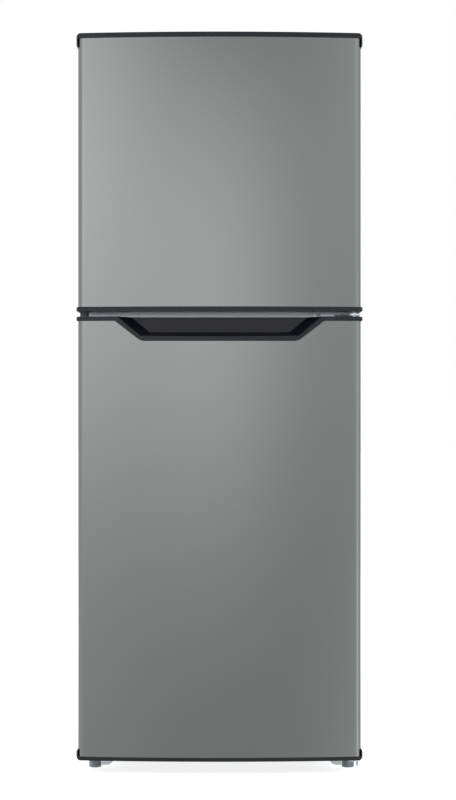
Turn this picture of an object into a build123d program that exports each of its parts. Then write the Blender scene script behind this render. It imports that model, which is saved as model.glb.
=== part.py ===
from build123d import *
import math
import os

os.makedirs("parts", exist_ok=True)

# All sizes are in millimetres. X runs to the right seen from the front, Y to the
# back and Z up. The origin is on the floor, under the middle of the whole outline.

# Cabinet shell and walls
cabinet_width = 545.0
cabinet_depth = 490.0
cabinet_base = 26.0
shell_sheet = 0.8
shell_corner = 4.0
front_return = 25.0
side_wall = 45.0
freezer_side_wall = 55.0
top_wall = 50.0
back_wall = 49.0
freezer_back_step = 7.0
floor_wall = 49.0
mullion_height = 56.0
mullion_lap = 7.0
liner_wall = 1.2
liner_corner = 18.0

# Compressor bay under the back of the cabinet
bay_height = 210.0
bay_depth = 180.0
bay_wall = 45.0
pan_sheet = 1.0

# Doors, with the moulded end caps that stand a little outside the steel skin
skin_setback = 1.0
skin_corner = 10.0
skin_sheet = 0.8
skin_return = 10.0
cap_side = 3.5
cap_front = 1.2
cap_plate = 3.0
cap_lip = 4.0
door_thickness = 50.0
door_bow = 13.0
gasket_gap = 12.0
lower_door_base = 28.0
lower_door_height = 850.0
door_gap = 10.0
upper_door_height = 533.0
top_reveal = 7.0

# End caps: height of the visible band, of the ears at its ends, and the rounding
top_cap_band = 9.3
top_cap_ear = 26.0
upper_cap_band = 8.8
lower_cap_band = 8.3
base_cap_band = 7.0
base_cap_ear = 20.0
outer_cap_round = 8.0
inner_cap_round = 3.4
under_recess = 3.0

# Pocket handle in the lower door's top cap
pocket_drop = 47.0
pocket_half = 150.5
pocket_slope = 37.7
pocket_rim = 8.5
pocket_rim_depth = 16.0
pocket_rim_corner = 24.0
pocket_flare = 6.0
pocket_depth = 34.0
pocket_back_half = 134.6
pocket_back_slope = 39.2
pocket_floor_rise = 9.5
pocket_corner = 5.0
pocket_wall = 2.0

# Door liners, gaskets and bins
dyke_clearance = 10.0
dyke_depth = 25.0
dyke_width = 22.0
dyke_corner = 8.0
gasket_width = 16.0
gasket_inset = 17.0
gasket_squeeze = 0.3
gasket_corner = 6.0
gasket_reveal = 5.0
gasket_base_rise = 24.0
gasket_top_drop = 9.0
bin_depth = 88.0
bin_wall = 2.2
bin_corner = 14.0
bin_dip = 18.0
bin_seat = 0.3

# Hinges: the pins stand on one line, inboard of the doors' right edge
hinge_inset = 16.0
hinge_setback = 25.5
pin_radius = 4.0
pin_length = 15.0
running_clearance = 0.08
bush_radius = 6.5
bush_height = 14.0
arm_half = 13.0
plate = 3.0
middle_arm = 4.0
hinge_plate_depth = 67.0
top_plate_reach = 46.0
cover_margin = 5.0
cover_rise = 16.0
seat_margin = 2.0
seat_drop = 1.5
bracket_screw_inset = 14.0
outer_bracket_screw = 12.0
inner_bracket_screw = 28.0

# Feet and rollers
foot_radius = 12.0
foot_pad = 14.0
foot_stem = 4.0
foot_setback = 14.5
left_foot_inset = 28.5
right_foot_inset = 20.5
rail_depth = 57.0
rail_height = 20.0
rail_sheet = 1.2
roller_radius = 18.0
roller_width = 23.0
roller_inset = 36.5
roller_y = 236.0
axle_radius = 3.0
ear_sheet = 2.5
side_play = 0.4

# Compressor and what stands in its bay
tray_height = 42.0
tray_sheet = 2.0
tray_depth = 148.0
tray_setback = 26.0
tray_flange = 10.0
ear_half = 12.0
compressor_inset = 177.5
compressor_length = 190.0
compressor_width = 130.0
compressor_height = 142.0
compressor_round = 34.0
grommet_height = 10.0
grommet_radius = 9.0
compressor_foot = 3.0
pipe_radius = 2.4
stub_radius = 4.0
stub_length = 6.0
drier_radius = 9.5
drier_length = 90.0
drier_reach = 150.0
drain_pan_depth = 20.0
drain_pan_wall = 2.0
cover_sheet = 1.2
cover_inset = 4.5
louvre_width = 70.0
louvre_pitch = 16.0
louvre_rows = 9
louvre_columns = 4
louvre_slot = 4.0
louvre_hood = 3.2
inlet_bore = 5.0
inlet_radius = 11.0

# Inside the compartments
ledge_depth = 7.0
ledge_height = 6.0
shelf_glass_sheet = 4.0
shelf_trim = 12.0
shelf_trim_height = 16.0
shelf_setback = 97.5
lower_shelf_rise = 395.0
upper_shelf_rise = 575.0
crisper_cover_rise = 208.0
crisper_gap = 0.3
crisper_wall = 2.4
crisper_draft = 8.0
crisper_lip = 6.0
duct_half = 55.0
duct_depth = 20.0
duct_wall = 2.5
duct_height = 480.0
wire_radius = 2.6
rung_radius = 1.6
freezer_shelf_rise = 221.0
evaporator_space = 58.0
panel_sheet = 2.5
panel_emboss = 4.0
fan_radius = 48.0
fan_hub = 14.0
fan_depth = 14.0
fan_rise = 354.0
fan_shaft = 1.5
fan_blades = 5
housing_half = 95.0
housing_setback = 29.5
housing_depth = 138.0
housing_height = 50.0
housing_wall = 2.0
knob_radius = 14.0
knob_depth = 8.0
knob_x = -50.0
plunger_radius = 3.9
plunger_x = 70.0
switch_travel = 6.0
control_rise = 23.0

# Screws
screw_head = 3.6
screw_head_height = 2.6
screw_shank = 2.0

# Places worked out from the sizes above
half_cabinet = cabinet_width / 2
inner_half = half_cabinet - shell_sheet
skin_width = cabinet_width - 2 * skin_setback
cap_width = skin_width + 2 * cap_side
cap_corner = skin_corner + cap_side / 2
back_y = (cabinet_depth + gasket_gap + door_thickness + door_bow) / 2
front_y = -back_y
cabinet_front = back_y - cabinet_depth
door_back = cabinet_front - gasket_gap
door_edge = door_back - door_thickness
lower_door_top = lower_door_base + lower_door_height
upper_door_base = lower_door_top + door_gap
upper_door_top = upper_door_base + upper_door_height
cabinet_top = upper_door_top - top_reveal
gap_middle = (lower_door_top + upper_door_base) / 2
mullion_base = gap_middle - mullion_height / 2
mullion_top = gap_middle + mullion_height / 2
rail_top = cabinet_base + rail_height
rail_back = cabinet_front + rail_depth
bay_front = back_y - bay_depth
bay_top = cabinet_base + bay_height
fridge_half = half_cabinet - side_wall
fridge_floor = cabinet_base + floor_wall
fridge_back = back_y - back_wall
hump_front = bay_front - bay_wall
hump_top = bay_top + bay_wall
freezer_half = half_cabinet - freezer_side_wall
freezer_top = cabinet_top - top_wall
freezer_back = fridge_back - freezer_back_step
hinge_x = cap_width / 2 - hinge_inset
hinge_y = door_edge + hinge_setback
door_middle_y = (door_edge + door_back) / 2
through = 2 * cabinet_depth
foot_y = cabinet_front + foot_setback
left_foot_x = left_foot_inset - half_cabinet
right_foot_x = half_cabinet - right_foot_inset
roller_x = half_cabinet - roller_inset
compressor_x = half_cabinet - compressor_inset
top_plate_left = hinge_x - top_plate_reach
top_plate_back = cabinet_front + hinge_plate_depth
cover_left = top_plate_left - cover_margin
cover_back = top_plate_back + cover_margin
hinge_seat = cabinet_top - seat_drop
seat_left = cover_left - seat_margin
seat_back = cover_back + seat_margin
seat_edge = half_cabinet - shell_corner + math.sqrt(shell_corner**2 - (shell_corner - seat_drop) ** 2)


def front_plane(y):
    """Upright plane that faces the front, at depth y."""
    return Plane.XZ.offset(-y)


def bar(x, y, z, mode=Mode.ADD):
    """Rectangular bar between two planes in each direction."""
    with Locations(((x[0] + x[1]) / 2, (y[0] + y[1]) / 2, (z[0] + z[1]) / 2)):
        Box(x[1] - x[0], y[1] - y[0], z[1] - z[0], mode=mode)


def post(x, y, z, radius, mode=Mode.ADD):
    """Upright cylinder between two heights."""
    with Locations((x, y, (z[0] + z[1]) / 2)):
        Cylinder(radius, z[1] - z[0], mode=mode)


def door_plan(width, inset, corner):
    """Door seen from above: straight sides, bowed front and rounded front corners."""
    half = width / 2
    with BuildSketch() as plan:
        with BuildLine():
            ThreePointArc((-half, door_edge + inset), (0, front_y + inset), (half, door_edge + inset))
            Polyline(
                (half, door_edge + inset),
                (half, door_back),
                (-half, door_back),
                (-half, door_edge + inset),
            )
        make_face()
        fillet(plan.vertices().group_by(Axis.Y)[0], corner)
    return plan.sketch


def skin_plan(inset):
    """Plan of the door's steel skin, drawn in from its outside by inset."""
    return door_plan(skin_width - 2 * inset, cap_front + inset, skin_corner - inset)


def cap_view(edge, up, band, ear, round_off):
    """End cap seen from the front: a band from its outer edge, with an ear at each end."""
    half = cap_width / 2
    skin = skin_width / 2
    shoulder = max(ear - 2.5 * cap_side, band - round_off)
    with BuildSketch() as view:
        with BuildLine():
            Line((0, edge), (half - round_off, edge))
            RadiusArc(
                (half - round_off, edge),
                (half, edge + up * round_off),
                -up * round_off,
            )
            if shoulder > round_off:
                Line((half, edge + up * round_off), (half, edge + up * shoulder))
            EllipticalCenterArc(
                (skin, edge + up * max(shoulder, round_off)),
                cap_side,
                ear - max(shoulder, round_off),
                arc_size=up * 90,
            )
            if ear > band:
                Line((skin, edge + up * ear), (skin, edge + up * band))
            Line((skin, edge + up * band), (0, edge + up * band))
            Line((0, edge + up * band), (0, edge))
        make_face()
        mirror(about=Plane.YZ)
    return view.sketch


def ring_view(half, base, top, width, corner, inset):
    """Rectangular frame seen from the front, with both edges drawn in by inset."""
    with BuildSketch() as view:
        with Locations((0, (base + top) / 2)):
            RectangleRounded(2 * (half - inset), top - base - 2 * inset, corner - inset)
            RectangleRounded(
                2 * (half - width + inset),
                top - base - 2 * (width - inset),
                corner / 2,
                mode=Mode.SUBTRACT,
            )
    return view.sketch


def compartment(half, base, top, back, grow):
    """Hollow of one compartment, open at the cabinet's front, grown on its other sides."""
    with BuildPart() as hollow:
        with BuildSketch(front_plane(cabinet_front)):
            with Locations((0, (base + top) / 2)):
                RectangleRounded(2 * (half + grow), top - base + 2 * grow, liner_corner + grow)
        extrude(amount=cabinet_front - back - grow)
    return hollow.part


def fridge_compartment(grow):
    """Hollow of the fridge compartment, stepped over the compressor bay."""
    whole = compartment(fridge_half, fridge_floor, mullion_base, fridge_back, grow)
    with BuildPart() as hollow:
        add(whole)
        bar(
            (-through, through),
            (hump_front + grow, through),
            (fridge_floor - 2 * liner_wall, hump_top - grow),
            mode=Mode.SUBTRACT,
        )
    return hollow.part


def pocket_view(half, slope, floor, top, corner):
    """Handle pocket seen from the front: a flat floor and two sloping sides."""
    rise = top - floor
    spread = rise / math.tan(math.radians(slope))
    with BuildSketch() as view:
        with BuildLine():
            Polyline(
                (-half, floor),
                (half, floor),
                (half + spread, top),
                (-half - spread, top),
                close=True,
            )
        make_face()
        fillet(view.vertices().group_by(Axis.Y)[0], corner)
    return view.sketch


def pocket_hollow(grow):
    """Finger space of the handle, drawn in and rising towards its back, grown by the wall.

    Its sides start wider than the rim, so that the rim keeps its width where the door bows back.
    """
    top = lower_door_top + 2 * pocket_wall
    floor = lower_door_top - pocket_drop + pocket_rim - grow
    rim_draw = (pocket_rim - grow) * math.tan(math.radians(pocket_slope / 2))
    rim_half = pocket_half + pocket_flare - rim_draw
    back_half = pocket_back_half + grow * math.tan(math.radians(pocket_back_slope / 2))
    back_floor = floor + pocket_floor_rise
    with BuildPart() as hollow:
        with BuildSketch(front_plane(front_y - 1)):
            add(pocket_view(rim_half, pocket_slope, floor, top, pocket_corner + grow))
        with BuildSketch(front_plane(front_y + pocket_depth + grow)):
            add(pocket_view(back_half, pocket_back_slope, back_floor, top, pocket_corner + grow))
        loft(ruled=True)
    return hollow.part


# Hollows that several pieces share
fridge_outer = fridge_compartment(liner_wall)
fridge_inner = fridge_compartment(0)
freezer_outer = compartment(freezer_half, mullion_top, freezer_top, freezer_back, liner_wall)
freezer_inner = compartment(freezer_half, mullion_top, freezer_top, freezer_back, 0)
pocket_outer = pocket_hollow(pocket_wall)
pocket_inner = pocket_hollow(0)
cap_plan = door_plan(cap_width, 0, cap_corner)
skin_outside = skin_plan(0)
skin_inside = skin_plan(skin_sheet)

# Cabinet wrapper: one folded sheet for both sides and the top, returned at the front,
# with a seat for the top hinge pressed into its right front corner
with BuildPart() as cabinet_wrapper:
    with BuildSketch(front_plane(cabinet_front)) as wrapper_view:
        with Locations((0, (cabinet_base + cabinet_top) / 2)):
            Rectangle(cabinet_width, cabinet_top - cabinet_base)
        fillet(wrapper_view.vertices().group_by(Axis.Y)[-1], shell_corner)
    extrude(amount=shell_sheet - cabinet_depth)
    with BuildSketch(front_plane(cabinet_front + shell_sheet)) as wrapper_hollow:
        with Locations((0, (cabinet_base + cabinet_top - shell_sheet) / 2)):
            Rectangle(2 * inner_half, cabinet_top - shell_sheet - cabinet_base)
        fillet(wrapper_hollow.vertices().group_by(Axis.Y)[-1], shell_corner - shell_sheet)
    extrude(amount=-cabinet_depth, mode=Mode.SUBTRACT)
    bar(
        (front_return - half_cabinet, half_cabinet - front_return),
        (cabinet_front, cabinet_front + shell_sheet),
        (cabinet_base, cabinet_top - front_return),
        mode=Mode.SUBTRACT,
    )
    bar(
        (seat_left, half_cabinet),
        (cabinet_front, seat_back),
        (hinge_seat, cabinet_top),
        mode=Mode.SUBTRACT,
    )
    bar(
        (seat_left - shell_sheet, seat_edge),
        (cabinet_front, seat_back + shell_sheet),
        (hinge_seat - shell_sheet, hinge_seat),
    )
    bar(
        (seat_left - shell_sheet, seat_left),
        (cabinet_front, seat_back + shell_sheet),
        (hinge_seat, cabinet_top - shell_sheet),
    )
    bar(
        (seat_left, half_cabinet - shell_corner),
        (seat_back, seat_back + shell_sheet),
        (hinge_seat, cabinet_top - shell_sheet),
    )
cabinet_wrapper.part.label = "cabinet_wrapper"
export_step(cabinet_wrapper.part, "parts/cabinet_wrapper.step")

# Back panel: flat painted sheet over the foam
with BuildPart() as back_panel:
    with BuildSketch(front_plane(back_y)) as panel_view:
        with Locations((0, (bay_top + cabinet_top) / 2)):
            Rectangle(cabinet_width, cabinet_top - bay_top)
        fillet(panel_view.vertices().group_by(Axis.Y)[-1], shell_corner)
    extrude(amount=shell_sheet)
back_panel.part.label = "back_panel"
export_step(back_panel.part, "parts/back_panel.step")

# Base pan: folded sheet under the foam that steps up over the compressor bay
foam_back = back_y - shell_sheet
with BuildPart() as base_pan:
    with BuildSketch(Plane.YZ):
        with BuildLine():
            Polyline(
                (rail_back, cabinet_base),
                (bay_front, cabinet_base),
                (bay_front, bay_top),
                (foam_back, bay_top),
                (foam_back, bay_top + pan_sheet),
                (bay_front - pan_sheet, bay_top + pan_sheet),
                (bay_front - pan_sheet, cabinet_base + pan_sheet),
                (rail_back, cabinet_base + pan_sheet),
                close=True,
            )
        make_face()
    extrude(amount=inner_half, both=True)
base_pan.part.label = "base_pan"
export_step(base_pan.part, "parts/base_pan.step")

# Cabinet foam: rigid foam that fills every wall and the mullion between the liners
with BuildPart() as cabinet_foam:
    with BuildSketch(Plane.YZ):
        with BuildLine():
            Polyline(
                (cabinet_front + liner_wall, rail_top),
                (rail_back, rail_top),
                (rail_back, cabinet_base + pan_sheet),
                (bay_front - pan_sheet, cabinet_base + pan_sheet),
                (bay_front - pan_sheet, bay_top + pan_sheet),
                (foam_back, bay_top + pan_sheet),
                (foam_back, cabinet_top - shell_sheet),
                (cabinet_front + liner_wall, cabinet_top - shell_sheet),
                close=True,
            )
        make_face()
    extrude(amount=inner_half, both=True)
    fillet(
        cabinet_foam.edges().filter_by(Axis.Y).group_by(Axis.Z)[-1],
        shell_corner - shell_sheet,
    )
    add(fridge_outer, mode=Mode.SUBTRACT)
    add(freezer_outer, mode=Mode.SUBTRACT)
    bar(
        (seat_left - shell_sheet, half_cabinet),
        (cabinet_front, seat_back + shell_sheet),
        (hinge_seat - shell_sheet, cabinet_top),
        mode=Mode.SUBTRACT,
    )
cabinet_foam.part.label = "cabinet_foam"
export_step(cabinet_foam.part, "parts/cabinet_foam.step")

# Liners: vacuum formed white sheet with a front flange and ledges for the shelves
flange_half = half_cabinet - front_return
ledge_front = cabinet_front + shelf_setback
lower_shelf = fridge_floor + lower_shelf_rise
upper_shelf = fridge_floor + upper_shelf_rise
crisper_cover = fridge_floor + crisper_cover_rise
freezer_shelf_height = mullion_top + freezer_shelf_rise


def liner_flange(base, top):
    """Front flange of a liner, before the compartment is cut out of it."""
    with BuildSketch(front_plane(cabinet_front)) as view:
        with Locations((0, (base + top) / 2)):
            Rectangle(2 * flange_half, top - base)
    return view.sketch


fridge_flange = liner_flange(rail_top, mullion_base + mullion_lap)
freezer_flange = liner_flange(mullion_top - mullion_lap, cabinet_top - front_return)

with BuildPart() as fridge_liner:
    add(fridge_outer)
    extrude(fridge_flange, amount=-liner_wall)
    add(fridge_inner, mode=Mode.SUBTRACT)
    for side in (-1, 1):
        for height, ledge_back in (
            (crisper_cover, hump_front),
            (lower_shelf, fridge_back),
            (upper_shelf, fridge_back),
        ):
            inner = side * (fridge_half - ledge_depth)
            bar(
                sorted((inner, side * (fridge_half + liner_wall / 2))),
                (ledge_front, ledge_back),
                (height - ledge_height, height),
            )
fridge_liner.part.label = "fridge_liner"
export_step(fridge_liner.part, "parts/fridge_liner.step")

panel_back_y = freezer_back - evaporator_space
with BuildPart() as freezer_liner:
    add(freezer_outer)
    extrude(freezer_flange, amount=-liner_wall)
    add(freezer_inner, mode=Mode.SUBTRACT)
    for side in (-1, 1):
        inner = side * (freezer_half - ledge_depth)
        bar(
            sorted((inner, side * (freezer_half + liner_wall / 2))),
            (ledge_front, panel_back_y - panel_sheet - 5.0),
            (freezer_shelf_height - ledge_height, freezer_shelf_height),
        )
freezer_liner.part.label = "freezer_liner"
export_step(freezer_liner.part, "parts/freezer_liner.step")

# Mullion plate: painted steel strip across the front between the two liners
with BuildPart() as mullion_plate:
    with BuildSketch(front_plane(cabinet_front)):
        with Locations((0, gap_middle)):
            Rectangle(2 * flange_half, mullion_height - 2 * mullion_lap)
    extrude(amount=-shell_sheet)
mullion_plate.part.label = "mullion_plate"
export_step(mullion_plate.part, "parts/mullion_plate.step")

# Front base rail: channel under the cabinet's front edge, open to the back
rail_front = cabinet_front + shell_sheet
with BuildPart() as front_base_rail:
    with BuildSketch(Plane.YZ):
        with BuildLine():
            Polyline(
                (rail_back, cabinet_base),
                (rail_front, cabinet_base),
                (rail_front, rail_top),
                (rail_back, rail_top),
                (rail_back, rail_top - rail_sheet),
                (rail_front + rail_sheet, rail_top - rail_sheet),
                (rail_front + rail_sheet, cabinet_base + rail_sheet),
                (rail_back, cabinet_base + rail_sheet),
                close=True,
            )
        make_face()
    extrude(amount=inner_half, both=True)
    for foot_x in (left_foot_x, right_foot_x):
        post(foot_x, foot_y, (cabinet_base - 1, rail_top - 2 * rail_sheet), foot_stem + 1, Mode.SUBTRACT)
front_base_rail.part.label = "front_base_rail"
export_step(front_base_rail.part, "parts/front_base_rail.step")

# Compressor rail: tray across the back with side cheeks and ears for the rollers
tray_top = tray_height + tray_sheet
tray_front = bay_front + tray_setback
tray_back = tray_front + tray_depth
cheek_inner = inner_half - tray_sheet
flange_height = (tray_top, tray_top + tray_flange)
ear_offset = roller_width / 2 + side_play + ear_sheet / 2
with BuildPart() as compressor_rail:
    bar((-inner_half, inner_half), (tray_front, tray_back), (tray_height, tray_top))
    bar((-cheek_inner, cheek_inner), (tray_back - tray_sheet, tray_back), flange_height)
    bar((-cheek_inner, cheek_inner), (tray_front, tray_front + tray_sheet), flange_height)
    for side in (-1, 1):
        bar(
            sorted((side * cheek_inner, side * inner_half)),
            (bay_front, foam_back),
            (cabinet_base, bay_top),
        )
    for middle in (-roller_x, roller_x):
        for offset in (-ear_offset, ear_offset):
            with BuildSketch(Plane.YZ.offset(middle + offset - ear_sheet / 2)) as ear_view:
                with Locations((roller_y, (roller_radius + tray_height) / 2)):
                    Rectangle(2 * ear_half, tray_height - roller_radius)
                with Locations((roller_y, roller_radius)):
                    Circle(ear_half)
                    Circle(axle_radius, mode=Mode.SUBTRACT)
            extrude(amount=ear_sheet)
compressor_rail.part.label = "compressor_rail"
export_step(compressor_rail.part, "parts/compressor_rail.step")

# Roller axles: headed pins held in the ears
with BuildPart() as roller_axles:
    for middle in (-roller_x, roller_x):
        with BuildSketch(Plane.YZ.offset(middle - ear_offset - ear_sheet / 2)):
            with Locations((roller_y, roller_radius)):
                Circle(axle_radius)
        extrude(amount=2 * ear_offset + ear_sheet)
        for way in (-1, 1):
            with BuildSketch(Plane.YZ.offset(middle + way * (ear_offset + ear_sheet / 2))):
                with Locations((roller_y, roller_radius)):
                    Circle(axle_radius + 1.5)
            extrude(amount=way * 1.6)
roller_axles.part.label = "roller_axles"
export_step(roller_axles.part, "parts/roller_axles.step")

# Rollers: moulded wheels with a hub and a hollowed web, one at each back corner
for roller_name, middle in (("left_roller", -roller_x), ("right_roller", roller_x)):
    with BuildPart() as roller:
        with BuildSketch(Plane.YZ.offset(middle - roller_width / 2)):
            with Locations((roller_y, roller_radius)):
                Circle(roller_radius)
                Circle(axle_radius + running_clearance, mode=Mode.SUBTRACT)
        extrude(amount=roller_width)
        fillet(
            roller.edges().filter_by(GeomType.CIRCLE).group_by(SortBy.RADIUS)[-1],
            2.0,
        )
        for start, way in ((middle - roller_width / 2, 1), (middle + roller_width / 2, -1)):
            with BuildSketch(Plane.YZ.offset(start)):
                with Locations((roller_y, roller_radius)):
                    Circle(roller_radius - 4)
                    Circle(axle_radius + 3, mode=Mode.SUBTRACT)
            extrude(amount=way * roller_width / 3, mode=Mode.SUBTRACT)
    roller.part.label = roller_name
    export_step(roller.part, f"parts/{roller_name}.step")

# Front feet: turned pads on threaded stems that screw up into the brackets
bracket_bottom = cabinet_base - plate
for foot_name, foot_x in (("left_foot", left_foot_x), ("right_foot", right_foot_x)):
    with BuildPart() as foot:
        post(foot_x, foot_y, (0, foot_pad), foot_radius)
        chamfer(foot.edges().filter_by(GeomType.CIRCLE).group_by(Axis.Z)[-1], 1.2)
        chamfer(foot.edges().filter_by(GeomType.CIRCLE).group_by(Axis.Z)[0], 0.8)
        with BuildSketch(Plane.XY.offset(foot_pad)):
            with Locations((foot_x, foot_y)):
                RegularPolygon(9.5, 6)
        extrude(amount=bracket_bottom - foot_pad - gasket_squeeze)
        post(foot_x, foot_y, (foot_pad, rail_top - rail_sheet - 2), foot_stem)
    foot.part.label = foot_name
    export_step(foot.part, f"parts/{foot_name}.step")

# Bottom hinge: plate under the cabinet's right front corner, with the lower door's pin
lip_drop = 17.0
lip_sheet = 2.5
lip_outer = 24.0
bracket_back = cabinet_front + hinge_plate_depth
bracket_screw_y = bracket_back - bracket_screw_inset
right_bracket_holes = (right_foot_x - inner_bracket_screw, right_foot_x + outer_bracket_screw)
left_bracket_holes = (left_foot_x - outer_bracket_screw, left_foot_x + inner_bracket_screw)


def bracket_lip(inner, outer, base):
    """Folded lip of a foot bracket seen from the front, with a round lower inner corner."""
    with BuildSketch(front_plane(cabinet_front)) as view:
        with Locations(((inner + outer) / 2, (base + cabinet_base) / 2)):
            Rectangle(abs(outer - inner), cabinet_base - base)
        low_corner = view.vertices().group_by(Axis.Y)[0].sort_by(lambda v: abs(v.X))[0]
        fillet(low_corner, lip_drop - 3)
    return view.sketch


foot_room = foot_radius + 1.5
lip_base = cabinet_base - lip_drop - plate
right_lip = bracket_lip(right_foot_x - foot_room - lip_outer, right_foot_x - foot_room, lip_base)
left_lip = bracket_lip(left_foot_x + foot_room + lip_outer, left_foot_x + foot_room, lip_base)

with BuildPart() as bottom_hinge:
    bar(
        (right_foot_x - foot_room - lip_outer - 6, half_cabinet - 1),
        (cabinet_front, bracket_back),
        (bracket_bottom, cabinet_base),
    )
    bar(
        (hinge_x - arm_half, hinge_x + arm_half),
        (hinge_y, cabinet_front),
        (bracket_bottom, cabinet_base),
    )
    post(hinge_x, hinge_y, (bracket_bottom, cabinet_base), arm_half)
    post(hinge_x, hinge_y, (cabinet_base, cabinet_base + pin_length), pin_radius)
    extrude(right_lip, amount=-lip_sheet)
    with BuildSketch(front_plane(cabinet_front)):
        with BuildLine():
            Polyline(
                (half_cabinet - 10, cabinet_base),
                (half_cabinet - 1, cabinet_base),
                (half_cabinet - 1, cabinet_base - lip_drop - 5),
                (half_cabinet - 5, cabinet_base - lip_drop - 5),
                close=True,
            )
        make_face()
    extrude(amount=-lip_sheet)
    post(right_foot_x, foot_y, (0, cabinet_base + 1), foot_stem + running_clearance, Mode.SUBTRACT)
    for hole_x in right_bracket_holes:
        post(hole_x, bracket_screw_y, (0, cabinet_base + 1), screw_shank, Mode.SUBTRACT)
bottom_hinge.part.label = "bottom_hinge"
export_step(bottom_hinge.part, "parts/bottom_hinge.step")

# Left foot bracket: the same plate without the hinge arm
with BuildPart() as left_foot_bracket:
    bar(
        (1 - half_cabinet, left_foot_x + foot_room + lip_outer + 6),
        (cabinet_front, bracket_back),
        (bracket_bottom, cabinet_base),
    )
    extrude(left_lip, amount=-lip_sheet)
    post(left_foot_x, foot_y, (0, cabinet_base + 1), foot_stem + running_clearance, Mode.SUBTRACT)
    for hole_x in left_bracket_holes:
        post(hole_x, bracket_screw_y, (0, cabinet_base + 1), screw_shank, Mode.SUBTRACT)
left_foot_bracket.part.label = "left_foot_bracket"
export_step(left_foot_bracket.part, "parts/left_foot_bracket.step")

# Middle hinge: plate on the mullion with an arm that carries a pin up and a pin down
middle_plate_left = hinge_x - 75.0
middle_plate_half = 9.0
arm_base = gap_middle - middle_arm / 2
arm_top = gap_middle + middle_arm / 2
middle_screw_x = middle_plate_left + 9.5
second_screw_x = hinge_x - 14.0
second_screw_z = gap_middle - middle_arm / 2 - screw_head - 0.4
with BuildPart() as middle_hinge:
    bar(
        (middle_plate_left, hinge_x + arm_half),
        (cabinet_front - plate, cabinet_front),
        (gap_middle - middle_plate_half, gap_middle + middle_plate_half),
    )
    fillet(middle_hinge.edges().filter_by(Axis.Y), 2.0)
    with BuildSketch(Plane.XY.offset(arm_base)):
        with BuildLine():
            Polyline(
                (hinge_x - arm_half, hinge_y),
                (hinge_x - arm_half, hinge_y + 10),
                (hinge_x - 35, cabinet_front - plate),
                (hinge_x + arm_half, cabinet_front - plate),
                (hinge_x + arm_half, hinge_y),
            )
            RadiusArc((hinge_x + arm_half, hinge_y), (hinge_x - arm_half, hinge_y), arm_half)
        make_face()
    extrude(amount=middle_arm)
    post(hinge_x, hinge_y, (arm_base - pin_length, arm_top + pin_length), pin_radius)
    with BuildSketch(front_plane(cabinet_front)):
        with Locations((middle_screw_x, gap_middle), (second_screw_x, second_screw_z)):
            Circle(screw_shank)
    extrude(amount=plate, mode=Mode.SUBTRACT)
middle_hinge.part.label = "middle_hinge"
export_step(middle_hinge.part, "parts/middle_hinge.step")

# Top hinge: plate on the cabinet's top, cranked over the upper door, with its pin
top_arm = 2.5
top_arm_clearance = 1.5
top_plate_front = cabinet_front + 8.0
top_arm_base = upper_door_top + top_arm_clearance
top_plate_holes = (top_plate_left + 9, hinge_x)
top_screw_y = top_plate_back - 10
with BuildPart() as top_hinge:
    bar(
        (top_plate_left, hinge_x + arm_half - 4),
        (top_plate_front, top_plate_back),
        (hinge_seat, hinge_seat + top_arm),
    )
    fillet(top_hinge.edges().filter_by(Axis.Z), 5.0)
    bar(
        (hinge_x - arm_half, hinge_x + arm_half - 4),
        (top_plate_front, top_plate_front + top_arm),
        (hinge_seat, top_arm_base + top_arm),
    )
    bar(
        (hinge_x - arm_half, hinge_x + arm_half - 4),
        (hinge_y, top_plate_front + top_arm),
        (top_arm_base, top_arm_base + top_arm),
    )
    post(hinge_x, hinge_y, (top_arm_base, top_arm_base + top_arm), arm_half - 2)
    post(hinge_x, hinge_y, (top_arm_base - pin_length, top_arm_base), pin_radius)
    for hole_x in top_plate_holes:
        post(hole_x, top_screw_y, (hinge_seat, hinge_seat + top_arm), screw_shank, Mode.SUBTRACT)
top_hinge.part.label = "top_hinge"
export_step(top_hinge.part, "parts/top_hinge.step")

# Top hinge cover: moulded cap over the hinge plate, stepped over the door
cover_top = cabinet_top + cover_rise
cover_wall = 2.0
cover_front = cabinet_front - 24.0
cover_right = half_cabinet - 1.0
door_step = cabinet_front - 1.5


def hinge_cover_view(inset):
    """Side view of the hinge cover, drawn in by its wall everywhere but underneath."""
    over_door = upper_door_top + 1.2
    with BuildSketch() as view:
        with BuildLine():
            Polyline(
                (cover_back - inset, hinge_seat),
                (door_step + inset, hinge_seat),
                (door_step + inset, over_door),
                (cover_front + inset, over_door),
                (cover_front + inset, over_door + 4),
                (cover_front + 7, cover_top - inset),
                (cover_back - 6, cover_top - inset),
                (cover_back - inset, cover_top - 6),
                close=True,
            )
        make_face()
    return view.sketch


cover_outside = hinge_cover_view(0)
cover_inside = hinge_cover_view(cover_wall)
with BuildPart() as top_hinge_cover:
    with BuildSketch(Plane.YZ.offset(cover_left)):
        add(cover_outside)
    extrude(amount=cover_right - cover_left)
    fillet(top_hinge_cover.edges().group_by(Axis.Z)[-1].filter_by(Axis.Y), 4.0)
    with BuildSketch(Plane.YZ.offset(cover_left + cover_wall)):
        add(cover_inside)
    extrude(amount=cover_right - cover_left - 2 * cover_wall, mode=Mode.SUBTRACT)
    bar(
        (hinge_x - arm_half - 1, hinge_x + arm_half - 3),
        (cover_front - 1, door_step + cover_wall + 1),
        (upper_door_top, top_arm_base + top_arm + 0.5),
        mode=Mode.SUBTRACT,
    )
top_hinge_cover.part.label = "top_hinge_cover"
export_step(top_hinge_cover.part, "parts/top_hinge_cover.step")

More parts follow.
